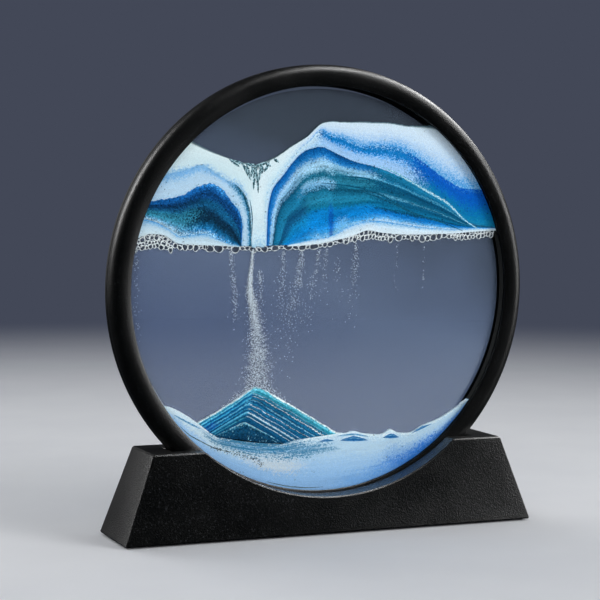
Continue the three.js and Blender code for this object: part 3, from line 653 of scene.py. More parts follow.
upperWhite = {
    "name": "upperWhiteSand", "nodes": ["upper_white_sand"], "slot": "white_sand", "thickness": 2.8,
    "walls": ["left", "right"], "rough": 0.14, "ragged": 0.2, "size": (190, 14),
    "stations": list(zip(whiteTop, whiteFoot)),
    "wave": 0.08, "lines": 0.06, "stipple": 0.26, "specks": 0.004, "spread": 0.1, "streaky": 0.04,
    "edge": {"colour": "#1d4652", "width": 0.055, "fade": 0.8, "strength": 0.9},
    "bands": [
        [(0.0, "#8dbbe0"), (0.08, "#b4d2e8"), (0.2, "#d0e3ea"), (0.8, "#dae8ec"), (1.0, "#e4eff2")],
        [(0.0, "#a9cee6"), (0.12, "#d0e4ee"), (0.5, "#deebf1"), (1.0, "#e2edf2")],
        [(0.0, "#3f97d8"), (0.12, "#86b8e6"), (0.28, "#b4d0ef"), (0.5, "#ccdef1"), (0.85, "#dae7f4"),
         (1.0, "#d4e4ee")],
    ],
    "turns": [(0.2, 0.32), (0.52, 0.66)],
}

leftPale = {
    "name": "leftPaleSand", "nodes": ["left_pale_sand"], "slot": "pale_sand", "thickness": 2.76, "walls": ["left"],
    "ragged": 0.3, "size": (75, 9),
    "stations": list(zip(whiteFoot[:11], leftPaleFoot)),
    "wave": 0.1, "lines": 0.06, "stipple": 0.26, "specks": 0.015, "spread": 0.12, "streaky": 0.05,
    "bands": [
        [(0.0, "#a4c6e2"), (0.12, "#bcd4e8"), (0.6, "#b4d0e8"), (0.8, "#8dbbe2"), (0.92, "#6fa8dc"),
         (1.0, "#8cbae0")],
        [(0.0, "#86b5d8"), (0.25, "#c0d7ea"), (0.55, "#a8cbe4"), (0.74, "#4a92bc"), (0.9, "#175874"),
         (1.0, "#0f3c4e")],
    ],
    "turns": [(0.42, 0.7)],
}

leftNavy = {
    "name": "leftNavySand", "nodes": ["left_navy_sand"], "slot": "navy_sand", "thickness": 2.72, "walls": ["left"],
    "lap": 0.5, "ragged": 0.2, "size": (72, 14),
    "stations": list(zip(leftPaleFoot, leftNavyFoot)),
    "wave": 0.2, "lines": 0.22, "lineSize": 2.4, "stipple": 0.1, "specks": 0.1, "speck": "#04121e", "spread": 0.8,
    "streaky": 0.45,
    "bands": [
        [(0.0, "#b5d2e6"), (0.1, "#6aa6cc"), (0.22, "#3a8aa6"), (0.45, "#267390"), (0.58, "#144d7a"),
         (0.68, "#0a2c4e"), (0.8, "#114e8a"), (0.95, "#1a66b0"), (1.0, "#2a76bc")],
        [(0.0, "#9cc8e6"), (0.07, "#2f86c0"), (0.16, "#13608f"), (0.28, "#0f3650"), (0.42, "#0b263c"),
         (0.54, "#12486c"), (0.64, "#145c86"), (0.74, "#0d3a68"), (0.88, "#114c88"), (0.97, "#1b66aa"),
         (1.0, "#3d88c4")],
    ],
    "turns": [(0.2, 0.5)],
}

leftFoot = {
    "name": "leftFootSand", "nodes": ["left_foot_sand"], "slot": "white_sand", "thickness": 2.68, "walls": ["left"],
    "size": (48, 4),
    "stations": list(zip(leftNavyFoot[:9] + leftNavyFoot[10:], leftLowest)),
    "wave": 0.15, "lines": 0.05, "stipple": 0.16, "specks": 0.02, "spread": 0.12,
    "bands": [
        [(0.0, "#d6e4ed"), (0.6, "#bcd4e4"), (0.85, "#8fbde0"), (1.0, "#4f98d4")],
    ],
}

rightSky = {
    "name": "rightSkySand", "nodes": ["right_sky_sand"], "slot": "sky_sand", "thickness": 2.76, "walls": ["right"],
    "lap": 0.4, "ragged": 0.15, "size": (160, 9),
    "stations": list(zip(whiteFoot[12:], rightSkyFoot)),
    "wave": 0.12, "lines": 0.12, "stipple": 0.3, "specks": 0.03, "spread": 0.2, "streaky": 0.1,
    "bands": [
        [(0.0, "#8fbfe6"), (0.3, "#b4d3ee"), (1.0, "#d0e4f0")],
        [(0.0, "#9ac4ec"), (0.2, "#a6c8ee"), (0.46, "#93beec"), (0.59, "#459ce0"), (0.67, "#0d76bc"),
         (0.88, "#0c70b4"), (0.97, "#4d9fe2"), (1.0, "#8abcea")],
        [(0.0, "#1a80aa"), (0.12, "#0c7aa8"), (0.4, "#0a6aae"), (0.55, "#0a60bc"), (0.92, "#0854b8"),
         (1.0, "#2a78cc")],
    ],
    "turns": [(0.36, 0.46), (0.7, 0.84)],
}

rightTeal = {
    "name": "rightTealSand", "nodes": ["right_teal_sand"], "slot": "teal_sand", "thickness": 2.72,
    "walls": ["right"], "lap": 0.4, "size": (150, 26), "rows": 16,
    "stations": list(zip(rightSkyFoot, rightTealFoot)),
    "wave": 0.09, "lines": 0.1, "lineSize": 1.6, "stipple": 0.045, "specks": 0.07, "speck": "#042438", "spread": 0.4,
    "streaky": 0.3,
    "bands": [
        [(0.0, "#3f9cd6"), (0.1, "#0c80cc"), (0.26, "#1284be"), (0.34, "#14608c"), (0.42, "#0d4870"),
         (0.52, "#1d7ca4"), (0.64, "#156a90"), (0.71, "#0a4460"), (0.77, "#86bce2"), (0.83, "#a3cbea"),
         (0.89, "#2880c4"), (0.96, "#0c60ac"), (1.0, "#094886")],
        [(0.0, "#8fc6ea"), (0.05, "#3a9ee0"), (0.14, "#0a86d4"), (0.3, "#0a7cc0"), (0.345, "#107092"),
         (0.42, "#288aae"), (0.5, "#1d7698"), (0.54, "#0b4a64"), (0.575, "#6fb0da"), (0.62, "#94c4e6"),
         (0.66, "#3f8fae"), (0.69, "#125872"), (0.715, "#216f8e"), (0.75, "#7fb4d0"), (0.79, "#a4cbe4"),
         (0.84, "#9cc8e6"), (0.89, "#2a86c8"), (0.94, "#0a62aa"), (0.98, "#084e8a"), (1.0, "#083e70")],
        [(0.0, "#8fc6ea"), (0.05, "#3a9ee0"), (0.14, "#0a86d4"), (0.28, "#0a78bc"), (0.33, "#0d6a8c"),
         (0.4, "#1f7fa2"), (0.48, "#176c8e"), (0.54, "#0a4862"), (0.6, "#1d7290"), (0.67, "#2a7f9c"),
         (0.7, "#125872"), (0.75, "#2d7c98"), (0.8, "#86bada"), (0.85, "#8fc0de"), (0.9, "#2a80bc"),
         (0.95, "#0a5ea2"), (1.0, "#083e70")],
        [(0.0, "#b9d6ec"), (0.07, "#4ba2de"), (0.15, "#0c7ccc"), (0.21, "#0a6cb6"), (0.25, "#063c5a"),
         (0.3, "#0b6a94"), (0.45, "#0a5478"), (0.49, "#0c5c80"), (0.51, "#5fa8c8"), (0.53, "#14688a"),
         (0.66, "#084a6c"), (0.76, "#0a5a80"), (0.8, "#4a9cc0"), (0.83, "#0c628a"), (0.9, "#1a78a2"),
         (1.0, "#1a80aa")],
    ],
    "turns": [(0.2, 0.34), (0.42, 0.5), (0.58, 0.72)],
    "patches": [
        {"at": (0.445, 0.14), "reach": (0.018, 0.26), "colour": "#0a58b2", "strength": 0.85},
        {"at": (0.5, 0.05), "reach": (0.05, 0.12), "colour": "#7fc0ea", "strength": 0.7},
    ],
}

rightFoot = {
    "name": "rightFootSand", "nodes": ["right_foot_sand"], "slot": "pale_sand", "thickness": 2.68,
    "walls": ["right"], "size": (96, 4),
    "stations": list(zip(rightTealFoot[0:7:3] + rightTealFoot[8:], rightLowest)),
    "wave": 0.15, "lines": 0.05, "stipple": 0.24, "specks": 0.02, "spread": 0.12,
    "bands": [
        [(0.0, "#e2ecf4"), (0.5, "#d4e4f1"), (0.8, "#a6cdea"), (1.0, "#469ce0")],
    ],
}

bed = {
    "name": "bedSand", "nodes": ["bed_sand"], "slot": "pale_sand", "thickness": 2.72, "size": (150, 18),
    "rough": 0.08,
    "stations": [((x, z), (x, -math.sqrt(wallRadius ** 2 - x ** 2))) for x, z in bedTop],
    "wave": 0.14, "lines": 0.16, "lineSize": 0.9, "stipple": 0.16, "specks": 0.003, "spread": 0.1, "streaky": 0.06,
    "bands": [
        [(0.0, "#8db6e4"), (0.25, "#98c0ea"), (0.5, "#a9caea"), (0.72, "#bcd4e6"), (0.86, "#b4d0e6"),
         (0.95, "#d2e3ee"), (1.0, "#e4eff5")],
    ],
    "patches": [
        {"at": (0.79, 0.05), "reach": (0.2, 0.42), "colour": "#1f74d4", "strength": 0.92},
        {"at": (0.73, 0.45), "reach": (0.1, 0.26), "colour": "#4a86c8", "strength": 0.35, "streaks": 2},
        {"at": (0.6, 0.0), "reach": (0.16, 0.3), "colour": "#6ea8e8", "strength": 0.6},
        {"at": (0.07, 0.85), "reach": (0.08, 0.3), "colour": "#dbe8f0", "strength": 0.85},
        {"at": (0.3, 0.5), "reach": (0.08, 0.2), "colour": "#d6dade", "strength": 0.75},
        {"at": (0.15, 0.62), "reach": (0.1, 0.16), "colour": "#d3e2ea", "strength": 0.7},
        {"at": (0.26, 0.86), "reach": (0.11, 0.2), "colour": "#1f7298", "strength": 0.95, "loose": 0.3, "streaks": 5},
        {"at": (0.34, 0.76), "reach": (0.1, 0.12), "colour": "#2a7ba4", "strength": 0.9, "loose": 0.3, "streaks": 5},
    ],
}

moundOuter = {
    "name": "moundOuterSand", "nodes": ["mound_outer_sand"], "slot": "sky_sand", "thickness": 2.8, "rough": 0.14,
    "size": (70, 9), "rows": 12,
    "stations": list(zip(moundTop, moundOuterFoot)),
    "wave": 0.15, "waveSize": (6, 2.5), "lines": 0.1, "lineSize": 0.7, "stipple": 0.035, "specks": 0.16,
    "speck": "#052a46", "spread": 0.6, "streaky": 0.4,
    "bands": [
        [(0.0, "#0d5488"), (0.07, "#0a3c66"), (0.12, "#3f9fc8"), (0.16, "#146ca0"), (0.23, "#093f6c"),
         (0.28, "#2b8fc0"), (0.33, "#7cc8e0"), (0.37, "#1a74a8"), (0.45, "#093e6a"), (0.5, "#13669c"),
         (0.56, "#4fb0d2"), (0.6, "#1a7cb0"), (0.67, "#0a487a"), (0.73, "#1f84b6"), (0.78, "#7cd0e2"),
         (0.82, "#2a90ba"), (0.86, "#15689a"), (0.91, "#57bcd6"), (0.965, "#d4ecf2"), (1.0, "#f0f7f9")],
        [(0.0, "#156694"), (0.08, "#0b4b75"), (0.1, "#bfe0ee"), (0.12, "#0b4670"), (0.2, "#196f9b"),
         (0.25, "#0d4d78"), (0.265, "#d8ecf4"), (0.285, "#0e4b75"), (0.33, "#1d78a2"), (0.38, "#0c446e"),
         (0.44, "#196996"), (0.455, "#8cc8e0"), (0.475, "#0a3e64"), (0.56, "#1b739e"), (0.61, "#0b466e"),
         (0.626, "#e4f2f7"), (0.65, "#0d466b"), (0.69, "#2280a3"), (0.72, "#0e537a"), (0.735, "#a8d8e8"),
         (0.755, "#196f92"), (0.8, "#379aaf"), (0.85, "#1d7e9b"), (0.9, "#6cc8dc"), (0.95, "#58b8d0"),
         (0.975, "#e6f2f5"), (1.0, "#f4f9fa")],
    ],
    "turns": [(0.44, 0.56)],
    "patches": [
        {"at": (0.47, 0.86), "reach": (0.07, 0.14), "colour": "#6cc4d8", "strength": 0.7, "loose": 1.6, "streaks": 2},
        {"at": (0.44, 0.5), "reach": (0.06, 0.12), "colour": "#5ab4d2", "strength": 0.6, "loose": 1.6, "streaks": 2},
        {"at": (0.04, 0.3), "reach": (0.06, 0.3), "colour": "#1454a8", "strength": 0.7, "loose": 1.0},
    ],
}

moundMiddle = {
    "name": "moundMiddleSand", "nodes": ["mound_middle_sand"], "slot": "teal_sand", "thickness": 2.76,
    "size": (48, 4), "lap": 0.3,
    "stations": list(zip(moundOuterFoot, moundMiddleFoot)),
    "wave": 0.08, "waveSize": (7, 3), "lines": 0.14, "lineSize": 0.6, "stipple": 0.06, "specks": 0.1,
    "speck": "#06304e", "spread": 0.5, "streaky": 0.3,
    "bands": [
        [(0.0, "#0b4467"), (0.3, "#11557e"), (0.4, "#469aaf"), (0.5, "#0e4b73"), (0.72, "#196d96"),
         (0.86, "#63b8d8"), (1.0, "#197197")],
        [(0.0, "#0a3c60"), (0.3, "#135a84"), (0.5, "#0e466c"), (0.54, "#c4e0ee"), (0.6, "#0b3c60"), (0.8, "#196690"),
         (0.88, "#d8ecf4"), (0.94, "#11537a"), (1.0, "#1b678f")],
    ],
    "turns": [(0.45, 0.56)],
}

moundCore = {
    "name": "moundCoreSand", "nodes": ["mound_core_sand"], "slot": "navy_sand", "thickness": 2.72, "size": (30, 6),
    "lap": 0.3,
    "stations": list(zip(moundMiddleFoot, moundCoreFoot)),
    "wave": 0.12, "lines": 0.16, "stipple": 0.16, "specks": 0.07, "speck": "#7fbcd6", "spread": 0.9, "streaky": 0.25,
    "bands": [
        [(0.0, "#0b3a58"), (0.25, "#0a3450"), (0.5, "#124a6c"), (0.75, "#0b3a58"), (0.88, "#246f92"),
         (0.95, "#8cc4d8"), (1.0, "#b4dae6")],
    ],
}

sandLayers = [
    upperWhite, leftPale, leftNavy, leftFoot, rightSky, rightTeal, rightFoot, bed, moundOuter, moundMiddle, moundCore,
]
for look in sandLayers:
    makeSandLayer(look)
print("sand layers done")

# Thin veins that run through the layers, each along a line of its own
veinLooks = [
    {"name": "funnelVeins", "slot": "teal_sand", "thickness": 2.86, "width": 1.25, "size": (8, 1), "stipple": 0.9,
     "bands": [[(0.0, "#b9d5de"), (0.25, "#3f7280"), (0.42, "#0c303a"), (0.62, "#0b2c36"), (0.8, "#4a7f8c"),
                (1.0, "#bfd9e2")]],
     "paths": [
         [(-40.1, 51.9), (-38, 50.5), (-35.9, 48.9)], [(-34.8, 50.4), (-33, 47.5), (-30.9, 43.6)],
         [(-32.8, 49.8), (-32.1, 47.5), (-31.5, 44.7)], [(-30.6, 49.7), (-30.4, 47.5), (-31, 44.8)],
         [(-28.5, 49.6), (-29, 47.5), (-28.2, 43.7), (-27.9, 38.6)], [(-26.1, 50.3), (-27, 47.5), (-27.5, 43.7)],
         [(-24.9, 50.5), (-23.8, 49.9), (-22.5, 49.2)], [(-23.1, 51.2), (-24.3, 48.7), (-25.5, 47)],
         [(-21.3, 52), (-20.2, 51.5), (-19.2, 50.7)], [(-29.7, 49.4), (-29.6, 45), (-29.9, 40)],
         [(-33.6, 50.1), (-31, 49.7), (-28.6, 49.4)], [(-29, 49.2), (-26.6, 49.8), (-24.2, 50.9)],
         [(-27.4, 49.6), (-26.2, 48.4), (-26.4, 46.2)], [(-38.4, 51.3), (-36.4, 50.6), (-34.4, 50.2)],
     ]},
    {"name": "ridgeVein", "slot": "teal_sand", "thickness": 2.86, "width": 0.5, "size": (30, 1), "stipple": 0.8,
     "bands": [[(0.0, "#7fb2cc"), (0.35, "#0f4458"), (0.65, "#0d3c4e"), (1.0, "#a9cdde")]],
     "paths": [
         [(-36.4, 41.2), (-33.4, 37.4), (-31.6, 32), (-30.9, 25), (-30.7, 18)],
         [(-31.4, 35.9), (-30.4, 29.2), (-30.6, 21.4)],
     ]},
    {"name": "whiteVein", "slot": "white_sand", "thickness": 2.8, "width": 1.1, "size": (60, 1), "stipple": 0.8,
     "bands": [[(0.0, "#3f9cc4"), (0.3, "#8fcbe0"), (0.5, "#dcedf4"), (0.7, "#8fcbe0"), (1.0, "#2a88b4")]],
     "paths": [
         [(25.1, 49.5), (31.5, 47.3), (37.2, 44.4), (44.9, 40.4), (51.4, 37), (56, 34.7), (61.2, 30), (66.5, 25.9),
          (71, 23.6)],
     ]},
    {"name": "tealVeins", "slot": "teal_sand", "thickness": 2.78, "width": 0.8, "size": (60, 1), "stipple": 0.9,
     "bands": [[(0.0, "#176a8c"), (0.3, "#0c4c68"), (0.5, "#083c56"), (0.7, "#0c4c68"), (1.0, "#176a8c")]],
     "paths": [
         [(-0.9, 42.6), (11.4, 41.5), (25.2, 38.1), (38.6, 31.2), (45.7, 28.9), (53.5, 26.5), (63.3, 23)],
         [(16, 39.6), (28, 35.6), (41, 29.9)], [(8, 45.4), (18, 44.6), (27, 42.2), (36, 38.4)],
     ]},
    {"name": "trailVein", "slot": "navy_sand", "thickness": 2.8, "width": 0.42, "size": (20, 1), "stipple": 0.8,
     "bands": [[(0.0, "#8aa2b0"), (0.35, "#3c4a52"), (0.7, "#33424a"), (1.0, "#8aa2b0")]],
     "paths": [
         [(-60.5, -53.2), (-56.6, -56.8), (-51.8, -59.6), (-46.4, -62.4), (-41, -64.2)],
         [(-24, -77.3), (-16, -79.4), (-8, -80.6), (1, -80.9)],
     ]},
    {"name": "bedVeins", "slot": "teal_sand", "thickness": 2.8, "width": 0.8, "size": (40, 1), "stipple": 0.9,
     "bands": [[(0.0, "#9cc4e0"), (0.4, "#2f7fae"), (0.6, "#2a78aa"), (1.0, "#9cc4e0")]],
     "paths": [
         [(-45, -59.2), (-36, -62), (-25, -63.6), (-13, -63.4)], [(-40, -62.6), (-28, -65), (-14, -65.4), (-4, -64.4)],
         [(7, -60.4), (14.3, -60), (21, -61.2)], [(-63, -48.6), (-57, -52), (-52, -54.6)],
     ]},
]
veinShape = {
    "steps": 12, "ahead": 0.02, "ends": (0.03, 0.97), "taper": 0.6, "overlap": 0.006,
    "slab": {"columns": 3, "rows": 3}, "sand": {"wave": 0.1, "lines": 0.1, "spread": 0.3},
}


def makeVeins(look):
    start, end = veinShape["ends"]
    slabs = []
    for i, path in enumerate(look["paths"]):
        stations = []
        for k in range(veinShape["steps"] + 1):
            share = k / veinShape["steps"]
            ahead = alongLine(path, min(1, share + veinShape["ahead"]))
            ahead -= alongLine(path, max(0, share - veinShape["ahead"]))
            side = Vector((-ahead.y, ahead.x)).normalized()
            side *= look["width"] / 2 * math.sin(math.pi * min(max(share, start), end)) ** veinShape["taper"]
            middle = alongLine(path, share)
            stations.append((middle + side, middle - side))
        thickness = look["thickness"] + veinShape["overlap"] * i  # where two cross, one lies over the other
        slabs.append(sandSlab({**look, **veinShape["slab"], "stations": stations, "thickness": thickness}))
    material = dyedSand(look["name"] + "Quartz", {**look, **veinShape["sand"]})
    settle(joinAll(slabs), look["name"], "ring_frame", material)


for look in veinLooks:
    makeVeins(look)

# Small drifts of blue sand in the bed, as a middle, a width, a height and a lean
driftLook = {
    "slot": "sky_sand", "thickness": 2.84, "steps": 10, "columns": 3, "steepness": 1.4, "least": 0.04, "sunk": 0.2,
    "size": (8, 2), "wave": 0.1, "lines": 0.1, "stipple": 0.2, "specks": 0.05, "spread": 0.2,
    "bands": [[(0.0, "#7db4dc"), (0.1, "#1d68a6"), (0.45, "#175c94"), (0.55, "#7fb6dc"), (0.62, "#1b639c"),
               (0.84, "#2c78b4"), (0.92, "#d3e6f0"), (1.0, "#e6f0f5")]],
}
drifts = [
    {"name": "driftSand1", "nodes": ["drift_sand_1"], "at": (2.3, -62.2), "half": (3.4, 1.0), "lean": 0.0},
    {"name": "driftSand2", "nodes": ["drift_sand_2"], "at": (14.6, -62.5), "half": (6.4, 2.1), "lean": -0.04},
    {"name": "driftSand3", "nodes": ["drift_sand_3"], "at": (31.3, -62.1), "half": (3.7, 2.0), "lean": -0.03},
    {"name": "driftSliver", "nodes": [], "at": (45.2, -59.1), "half": (4.8, 1.0), "lean": 0.38},
]


def makeDrift(drift):
    x, z = drift["at"]
    width, height = drift["half"]
    stations = []
    for i in range(driftLook["steps"] + 1):
        across = -1 + 2 * i / driftLook["steps"]
        rise = height * (1 - abs(across) ** driftLook["steepness"]) + driftLook["least"]
        middle = z + drift["lean"] * across * width
        stations.append(((x + across * width, middle + rise),
                         (x + across * width, middle - driftLook["sunk"] * rise)))
    makeSandLayer({**driftLook, **drift, "stations": stations})


for drift in drifts:
    makeDrift(drift)
print("veins and drifts done")


# Single grains of quartz, too small to show any pattern of their own.
def looseGrains(name, hexColour):
    material, tree, spot = newMaterial(name)
    noise = addNode(tree, "TexNoise", {"Vector": spot, "Scale": 1 / (0.6 * mm), "Detail": 1})
    shade = addNode(tree, "MapRange", {0: noise.outputs[0], 1: noiseLow, 2: noiseHigh, 3: 0.85, 4: 1.1})
    colour = addNode(tree, "HueSaturation", {"Value": shade.outputs[0], "Color": linear(hexColour)})
    shader = addNode(tree, "BsdfPrincipled", {"Base Color": colour.outputs[0], "Roughness": 0.7})
    addNode(tree, "OutputMaterial", {0: shader.outputs[0]})
    return material


# Bubbles pressed between the panes under the upper sand, each with an uneven rim of white grains that is also a painted
# highlight along the bubble's edge
raftLook = {
    "line": [
        (-80, 18.2), (-75, 20), (-70, 20.4), (-66, 19.6), (-61, 17.4), (-46, 17), (-29, 16.5), (-10, 16.6), (3.3, 18.1),
        (14.3, 20.6), (20.5, 22), (27, 20.8), (45, 20.3), (64, 21.1), (79, 22.2),
    ],
    "stretches": [
        {"from": -81, "to": -64, "rows": 4, "half": (0.6, 1.05), "tall": (0.8, 1.3), "lean": (-0.5, 0.5)},
        {"from": -64, "to": -50, "rows": 1, "half": (0.7, 1.3), "tall": (0.75, 1.1), "lean": (-0.5, 0.5)},
        {"from": -50, "to": 12, "rows": 1, "half": (0.8, 2.0), "tall": (0.55, 0.9), "lean": (-0.3, 0.3)},
        {"from": 10, "to": 31, "rows": 2, "half": (0.65, 1.1), "tall": (1.0, 1.6), "lean": (-0.1, 0.7)},
        {"from": 31, "to": 60, "rows": 1, "half": (0.8, 1.5), "tall": (0.75, 1.1), "lean": (-0.2, 0.7)},
        {"from": 58, "to": 81, "rows": 2, "half": (0.6, 1.0), "tall": (0.9, 1.5), "lean": (-0.1, 0.7)},
    ],
    "seed": 7, "tallest": 1.5, "rowGap": 1.6, "stray": 0.5, "wallGap": 0.9, "spacing": (0.8, 1.1), "phase": (0, 6.28),
    "deep": 0.6, "uneven": (0.1, 0.07), "rim": 0.3, "rimLeast": 0.06, "rimDeep": 0.8,
    "rimShares": (0.6, 0.25, 0.4),  # all round, above and in lumps
}


def heightAt(line, x):
    for (x0, z0), (x1, z1) in zip(line, line[1:]):
        if x <= x1:
            return z0 + (z1 - z0) * (x - x0) / (x1 - x0)
    return line[-1][1]


def bubblePlaces():
    dice = random.Random(raftLook["seed"])
    places = []
    for stretch in raftLook["stretches"]:
        for row in range(stretch["rows"]):
            x = stretch["from"] + dice.uniform(0, 1)
            while x < stretch["to"]:
                half = dice.uniform(*stretch["half"])
                tall = min(half * dice.uniform(*stretch["tall"]), raftLook["tallest"])
                x += half
                z = heightAt(raftLook["line"], x) + (row - (stretch["rows"] - 1) / 2) * raftLook["rowGap"]
                z += dice.uniform(-raftLook["stray"], raftLook["stray"])
                if math.hypot(x, z) < wallRadius - raftLook["wallGap"]:
                    lean, phase = dice.uniform(*stretch["lean"]), dice.uniform(*raftLook["phase"])
                    places.append((x, z, half, tall, lean, phase))
                x += half * dice.uniform(*raftLook["spacing"])
    return places


def makeBubbles():
    places = bubblePlaces()
    facing = (math.pi / 2, 0, 0)
    tube = 0.2  # of the model rim, whose radius is 1
    clearSelection()
    bpy.ops.mesh.primitive_uv_sphere_add(segments=10, ring_count=5, radius=1, rotation=facing)
    lens = bpy.context.object
    applyPlace(lens)
    clearSelection()
    bpy.ops.mesh.primitive_torus_add(major_segments=14, minor_segments=6, major_radius=1, minor_radius=tube,
                                     rotation=facing)
    rim = bpy.context.object
    applyPlace(rim)
    broad, narrow = raftLook["uneven"]
    even, above, lumps = raftLook["rimShares"]
    made = {"lens": [], "rim": []}
    for x, z, half, tall, lean, phase in places:
        place = Matrix.Translation((x * mm, 0, ringCentre.z + z * mm)) @ Matrix.Rotation(lean, 4, "Y")
        for kind, model in (("lens", lens), ("rim", rim)):
            copy = addObject(kind, model.data.copy())
            for vertex in copy.data.vertices:
                spot = vertex.co
                angle = math.atan2(spot.z, spot.x)
                uneven = 1 + broad * math.sin(2 * angle + phase) + narrow * math.sin(3 * angle - 2 * phase)
                if kind == "lens":  # a shallow lens with an uneven outline
                    vertex.co = (spot.x * half * uneven, spot.y * raftLook["deep"], spot.z * tall * uneven)
                else:  # a rim with a flat front, thickest where sand rests on the bubble
                    thick = raftLook["rim"] * (even + above * math.sin(angle) + lumps * math.sin(3 * angle + 3 * phase))
                    thick = max(thick, raftLook["rimLeast"])
                    out = (math.hypot(spot.x, spot.z) - 1) / tube * thick
                    vertex.co = (math.cos(angle) * (half * uneven + out), spot.y / tube * raftLook["rimDeep"],
                                 math.sin(angle) * (tall * uneven + out))
                vertex.co *= mm
            copy.matrix_world = place
            made[kind].append(copy)
    bpy.data.objects.remove(lens)
    bpy.data.objects.remove(rim)
    settle(joinAll(made["lens"]), "bubbleRaft", "ring_frame", bubbleAir("bubbleAir"), ["bubble_raft"])
    # the white rims are partly grains and partly a painted highlight of each bubble's bright edge
    settle(joinAll(made["rim"]), "bubbleRims", "ring_frame", looseGrains("rimQuartz", "#fbfdfe"))
    print(len(places), "bubbles done")


looseSand = looseGrains("looseQuartz", "#f3f8fd")
makeBubbles()

# Falling sand: each stream's path from the raft down, how many grains and how far they stray at top and foot.
# Front is the share of them that falls before the cell's middle.
streamLook = {
    "paths": [
        {"line": [(-29.8, 16.1), (-30.6, 7.4), (-31, 0.7), (-30.1, -5.2), (-28.5, -13.7), (-27.8, -22.1),
                  (-27.3, -30.6), (-27.8, -39)],
         "count": 5600, "stray": (0.25, 3.2), "bend": 1.6, "thin": 0.75, "front": 0.8},
        {"line": [(-27, 7.3), (-26.6, 0.6), (-26.8, -8), (-27, -24)], "count": 330, "stray": (0.6, 1.8)},
        {"line": [(-39.1, 15.4), (-38.2, 5), (-37.5, -5.1), (-37.2, -14)], "count": 480, "stray": (0.4, 1.5)},
        {"line": [(-16.7, 15.2), (-17.1, 4.6), (-17.9, -5.5), (-19.4, -26)], "count": 380, "stray": (0.4, 2.4)},
        {"line": [(-8.5, 15.4), (-10.2, 4.5), (-12.5, -5.6), (-14.7, -15.7), (-17, -36)], "count": 850,
         "stray": (0.5, 3.0)},
        {"line": [(-1.1, 15.6), (-2.9, 6.1), (-4.7, -2.4), (-6.6, -16)], "count": 340, "stray": (0.4, 2.0)},
        {"line": [(1.9, 15.8), (1.4, 6.9), (0.2, -5)], "count": 180, "stray": (0.35, 1.2)},
        {"line": [(6.8, 12), (6.9, 0), (5.6, -16)], "count": 110, "stray": (0.6, 2.2)},
        {"line": [(15.1, 18), (14.7, 9.2), (13.9, 0.7), (11.4, -16)], "count": 340, "stray": (0.35, 2.0)},
        {"line": [(33.6, 17), (33.2, 6.4), (33.3, -5)], "count": 55, "stray": (0.15, 0.4)},
        {"line": [(46, 17.5), (45.8, 6), (45.6, -5)], "count": 35, "stray": (0.15, 0.4)},
        {"line": [(-78.2, 17.2), (-78.2, 2.9), (-77.4, -18)], "count": 160, "stray": (0.4, 1.0)},
    ],
    "cloud": {"x": -28, "reach": (6.5, 4.2), "fade": 5, "least": 0.5, "count": 900},
    "placeSeed": 21, "grainSeed": 5, "grain": (0.085, 0.15), "taper": 0.6, "front": 0.45, "depth": (0.35, 1.15),
}


def grainPlaces():
    dice = random.Random(streamLook["placeSeed"])
    places = []
    for path in streamLook["paths"]:
        near, far = path["stray"]
        for i in range(path["count"]):
            fall = dice.random()
            fall = fall ** path["thin"] if "thin" in path else 1 - (1 - fall) ** streamLook["taper"]
            spot = alongLine(path["line"], fall)
            stray = near + (far - near) * fall ** path.get("bend", 1)
            side = -1 if dice.random() < path.get("front", streamLook["front"]) else 1
            places.append((spot.x + dice.gauss(0, stray), side, spot.y + dice.gauss(0, stray)))
    cloud = streamLook["cloud"]
    for i in range(cloud["count"]):  # what settles on the mound's flanks
        x = cloud["x"] + dice.gauss(0, cloud["reach"][0])
        high = cloud["reach"][1] * math.exp(-abs(x - cloud["x"]) / cloud["fade"]) + cloud["least"]
        places.append((x, dice.choice((-1, 1)), heightAt(moundTop, x) + abs(dice.gauss(0, high))))
    return [(x, side * dice.uniform(*streamLook["depth"]), z) for x, side, z in places]


# Many copies of one twelve-sided grain in a single mesh.
grainLook = {"segments": 4, "rings": 3, "spin": (0, 6.28)}


def scatterGrains(name, places, sizes, seed):
    clearSelection()
    bpy.ops.mesh.primitive_uv_sphere_add(segments=grainLook["segments"], ring_count=grainLook["rings"], radius=1)
    model = bpy.context.object
    corners = [vertex.co.copy() for vertex in model.data.vertices]
    sides = [tuple(face.vertices) for face in model.data.polygons]
    bpy.data.objects.remove(model)
    dice = random.Random(seed)
    spots, faces = [], []
    for x, y, z in places:
        middle = Vector((x * mm, y * mm, ringCentre.z + z * mm))
        size = dice.uniform(*sizes) * mm
        turn = Matrix.Rotation(dice.uniform(*grainLook["spin"]), 3, Vector((dice.random(), dice.random(), 1)))
        first = len(spots)
        spots += [middle + turn @ corner * size for corner in corners]
        faces += [tuple(first + i for i in side) for side in sides]
    mesh = bpy.data.meshes.new(name)
    mesh.from_pydata(spots, [], faces)
    return addObject(name, mesh)


# A trail of dark grains that settled in the bed, bedded in its front and back faces
trailLook = {
    "line": [(-47, -62.2), (-41, -64.2), (-35.6, -65.6), (-30.2, -67.4), (-25.8, -70.2)], "count": 300,
    "placeSeed": 3, "grainSeed": 9, "grain": (0.13, 0.26), "stray": 0.8, "drop": (0.25, 0.6), "face": 1.36,
    "colour": "#2c3238",
}


def trailPlaces():
    dice = random.Random(trailLook["placeSeed"])
    least, more = trailLook["drop"]
    places = []
    for i in range(trailLook["count"]):
        share = dice.random()
        spot = alongLine(trailLook["line"], share)
        x = spot.x + dice.gauss(0, trailLook["stray"])
        y = dice.choice((-trailLook["face"], trailLook["face"]))
        places.append((x, y, spot.y + dice.gauss(0, least + more * share)))
    return places


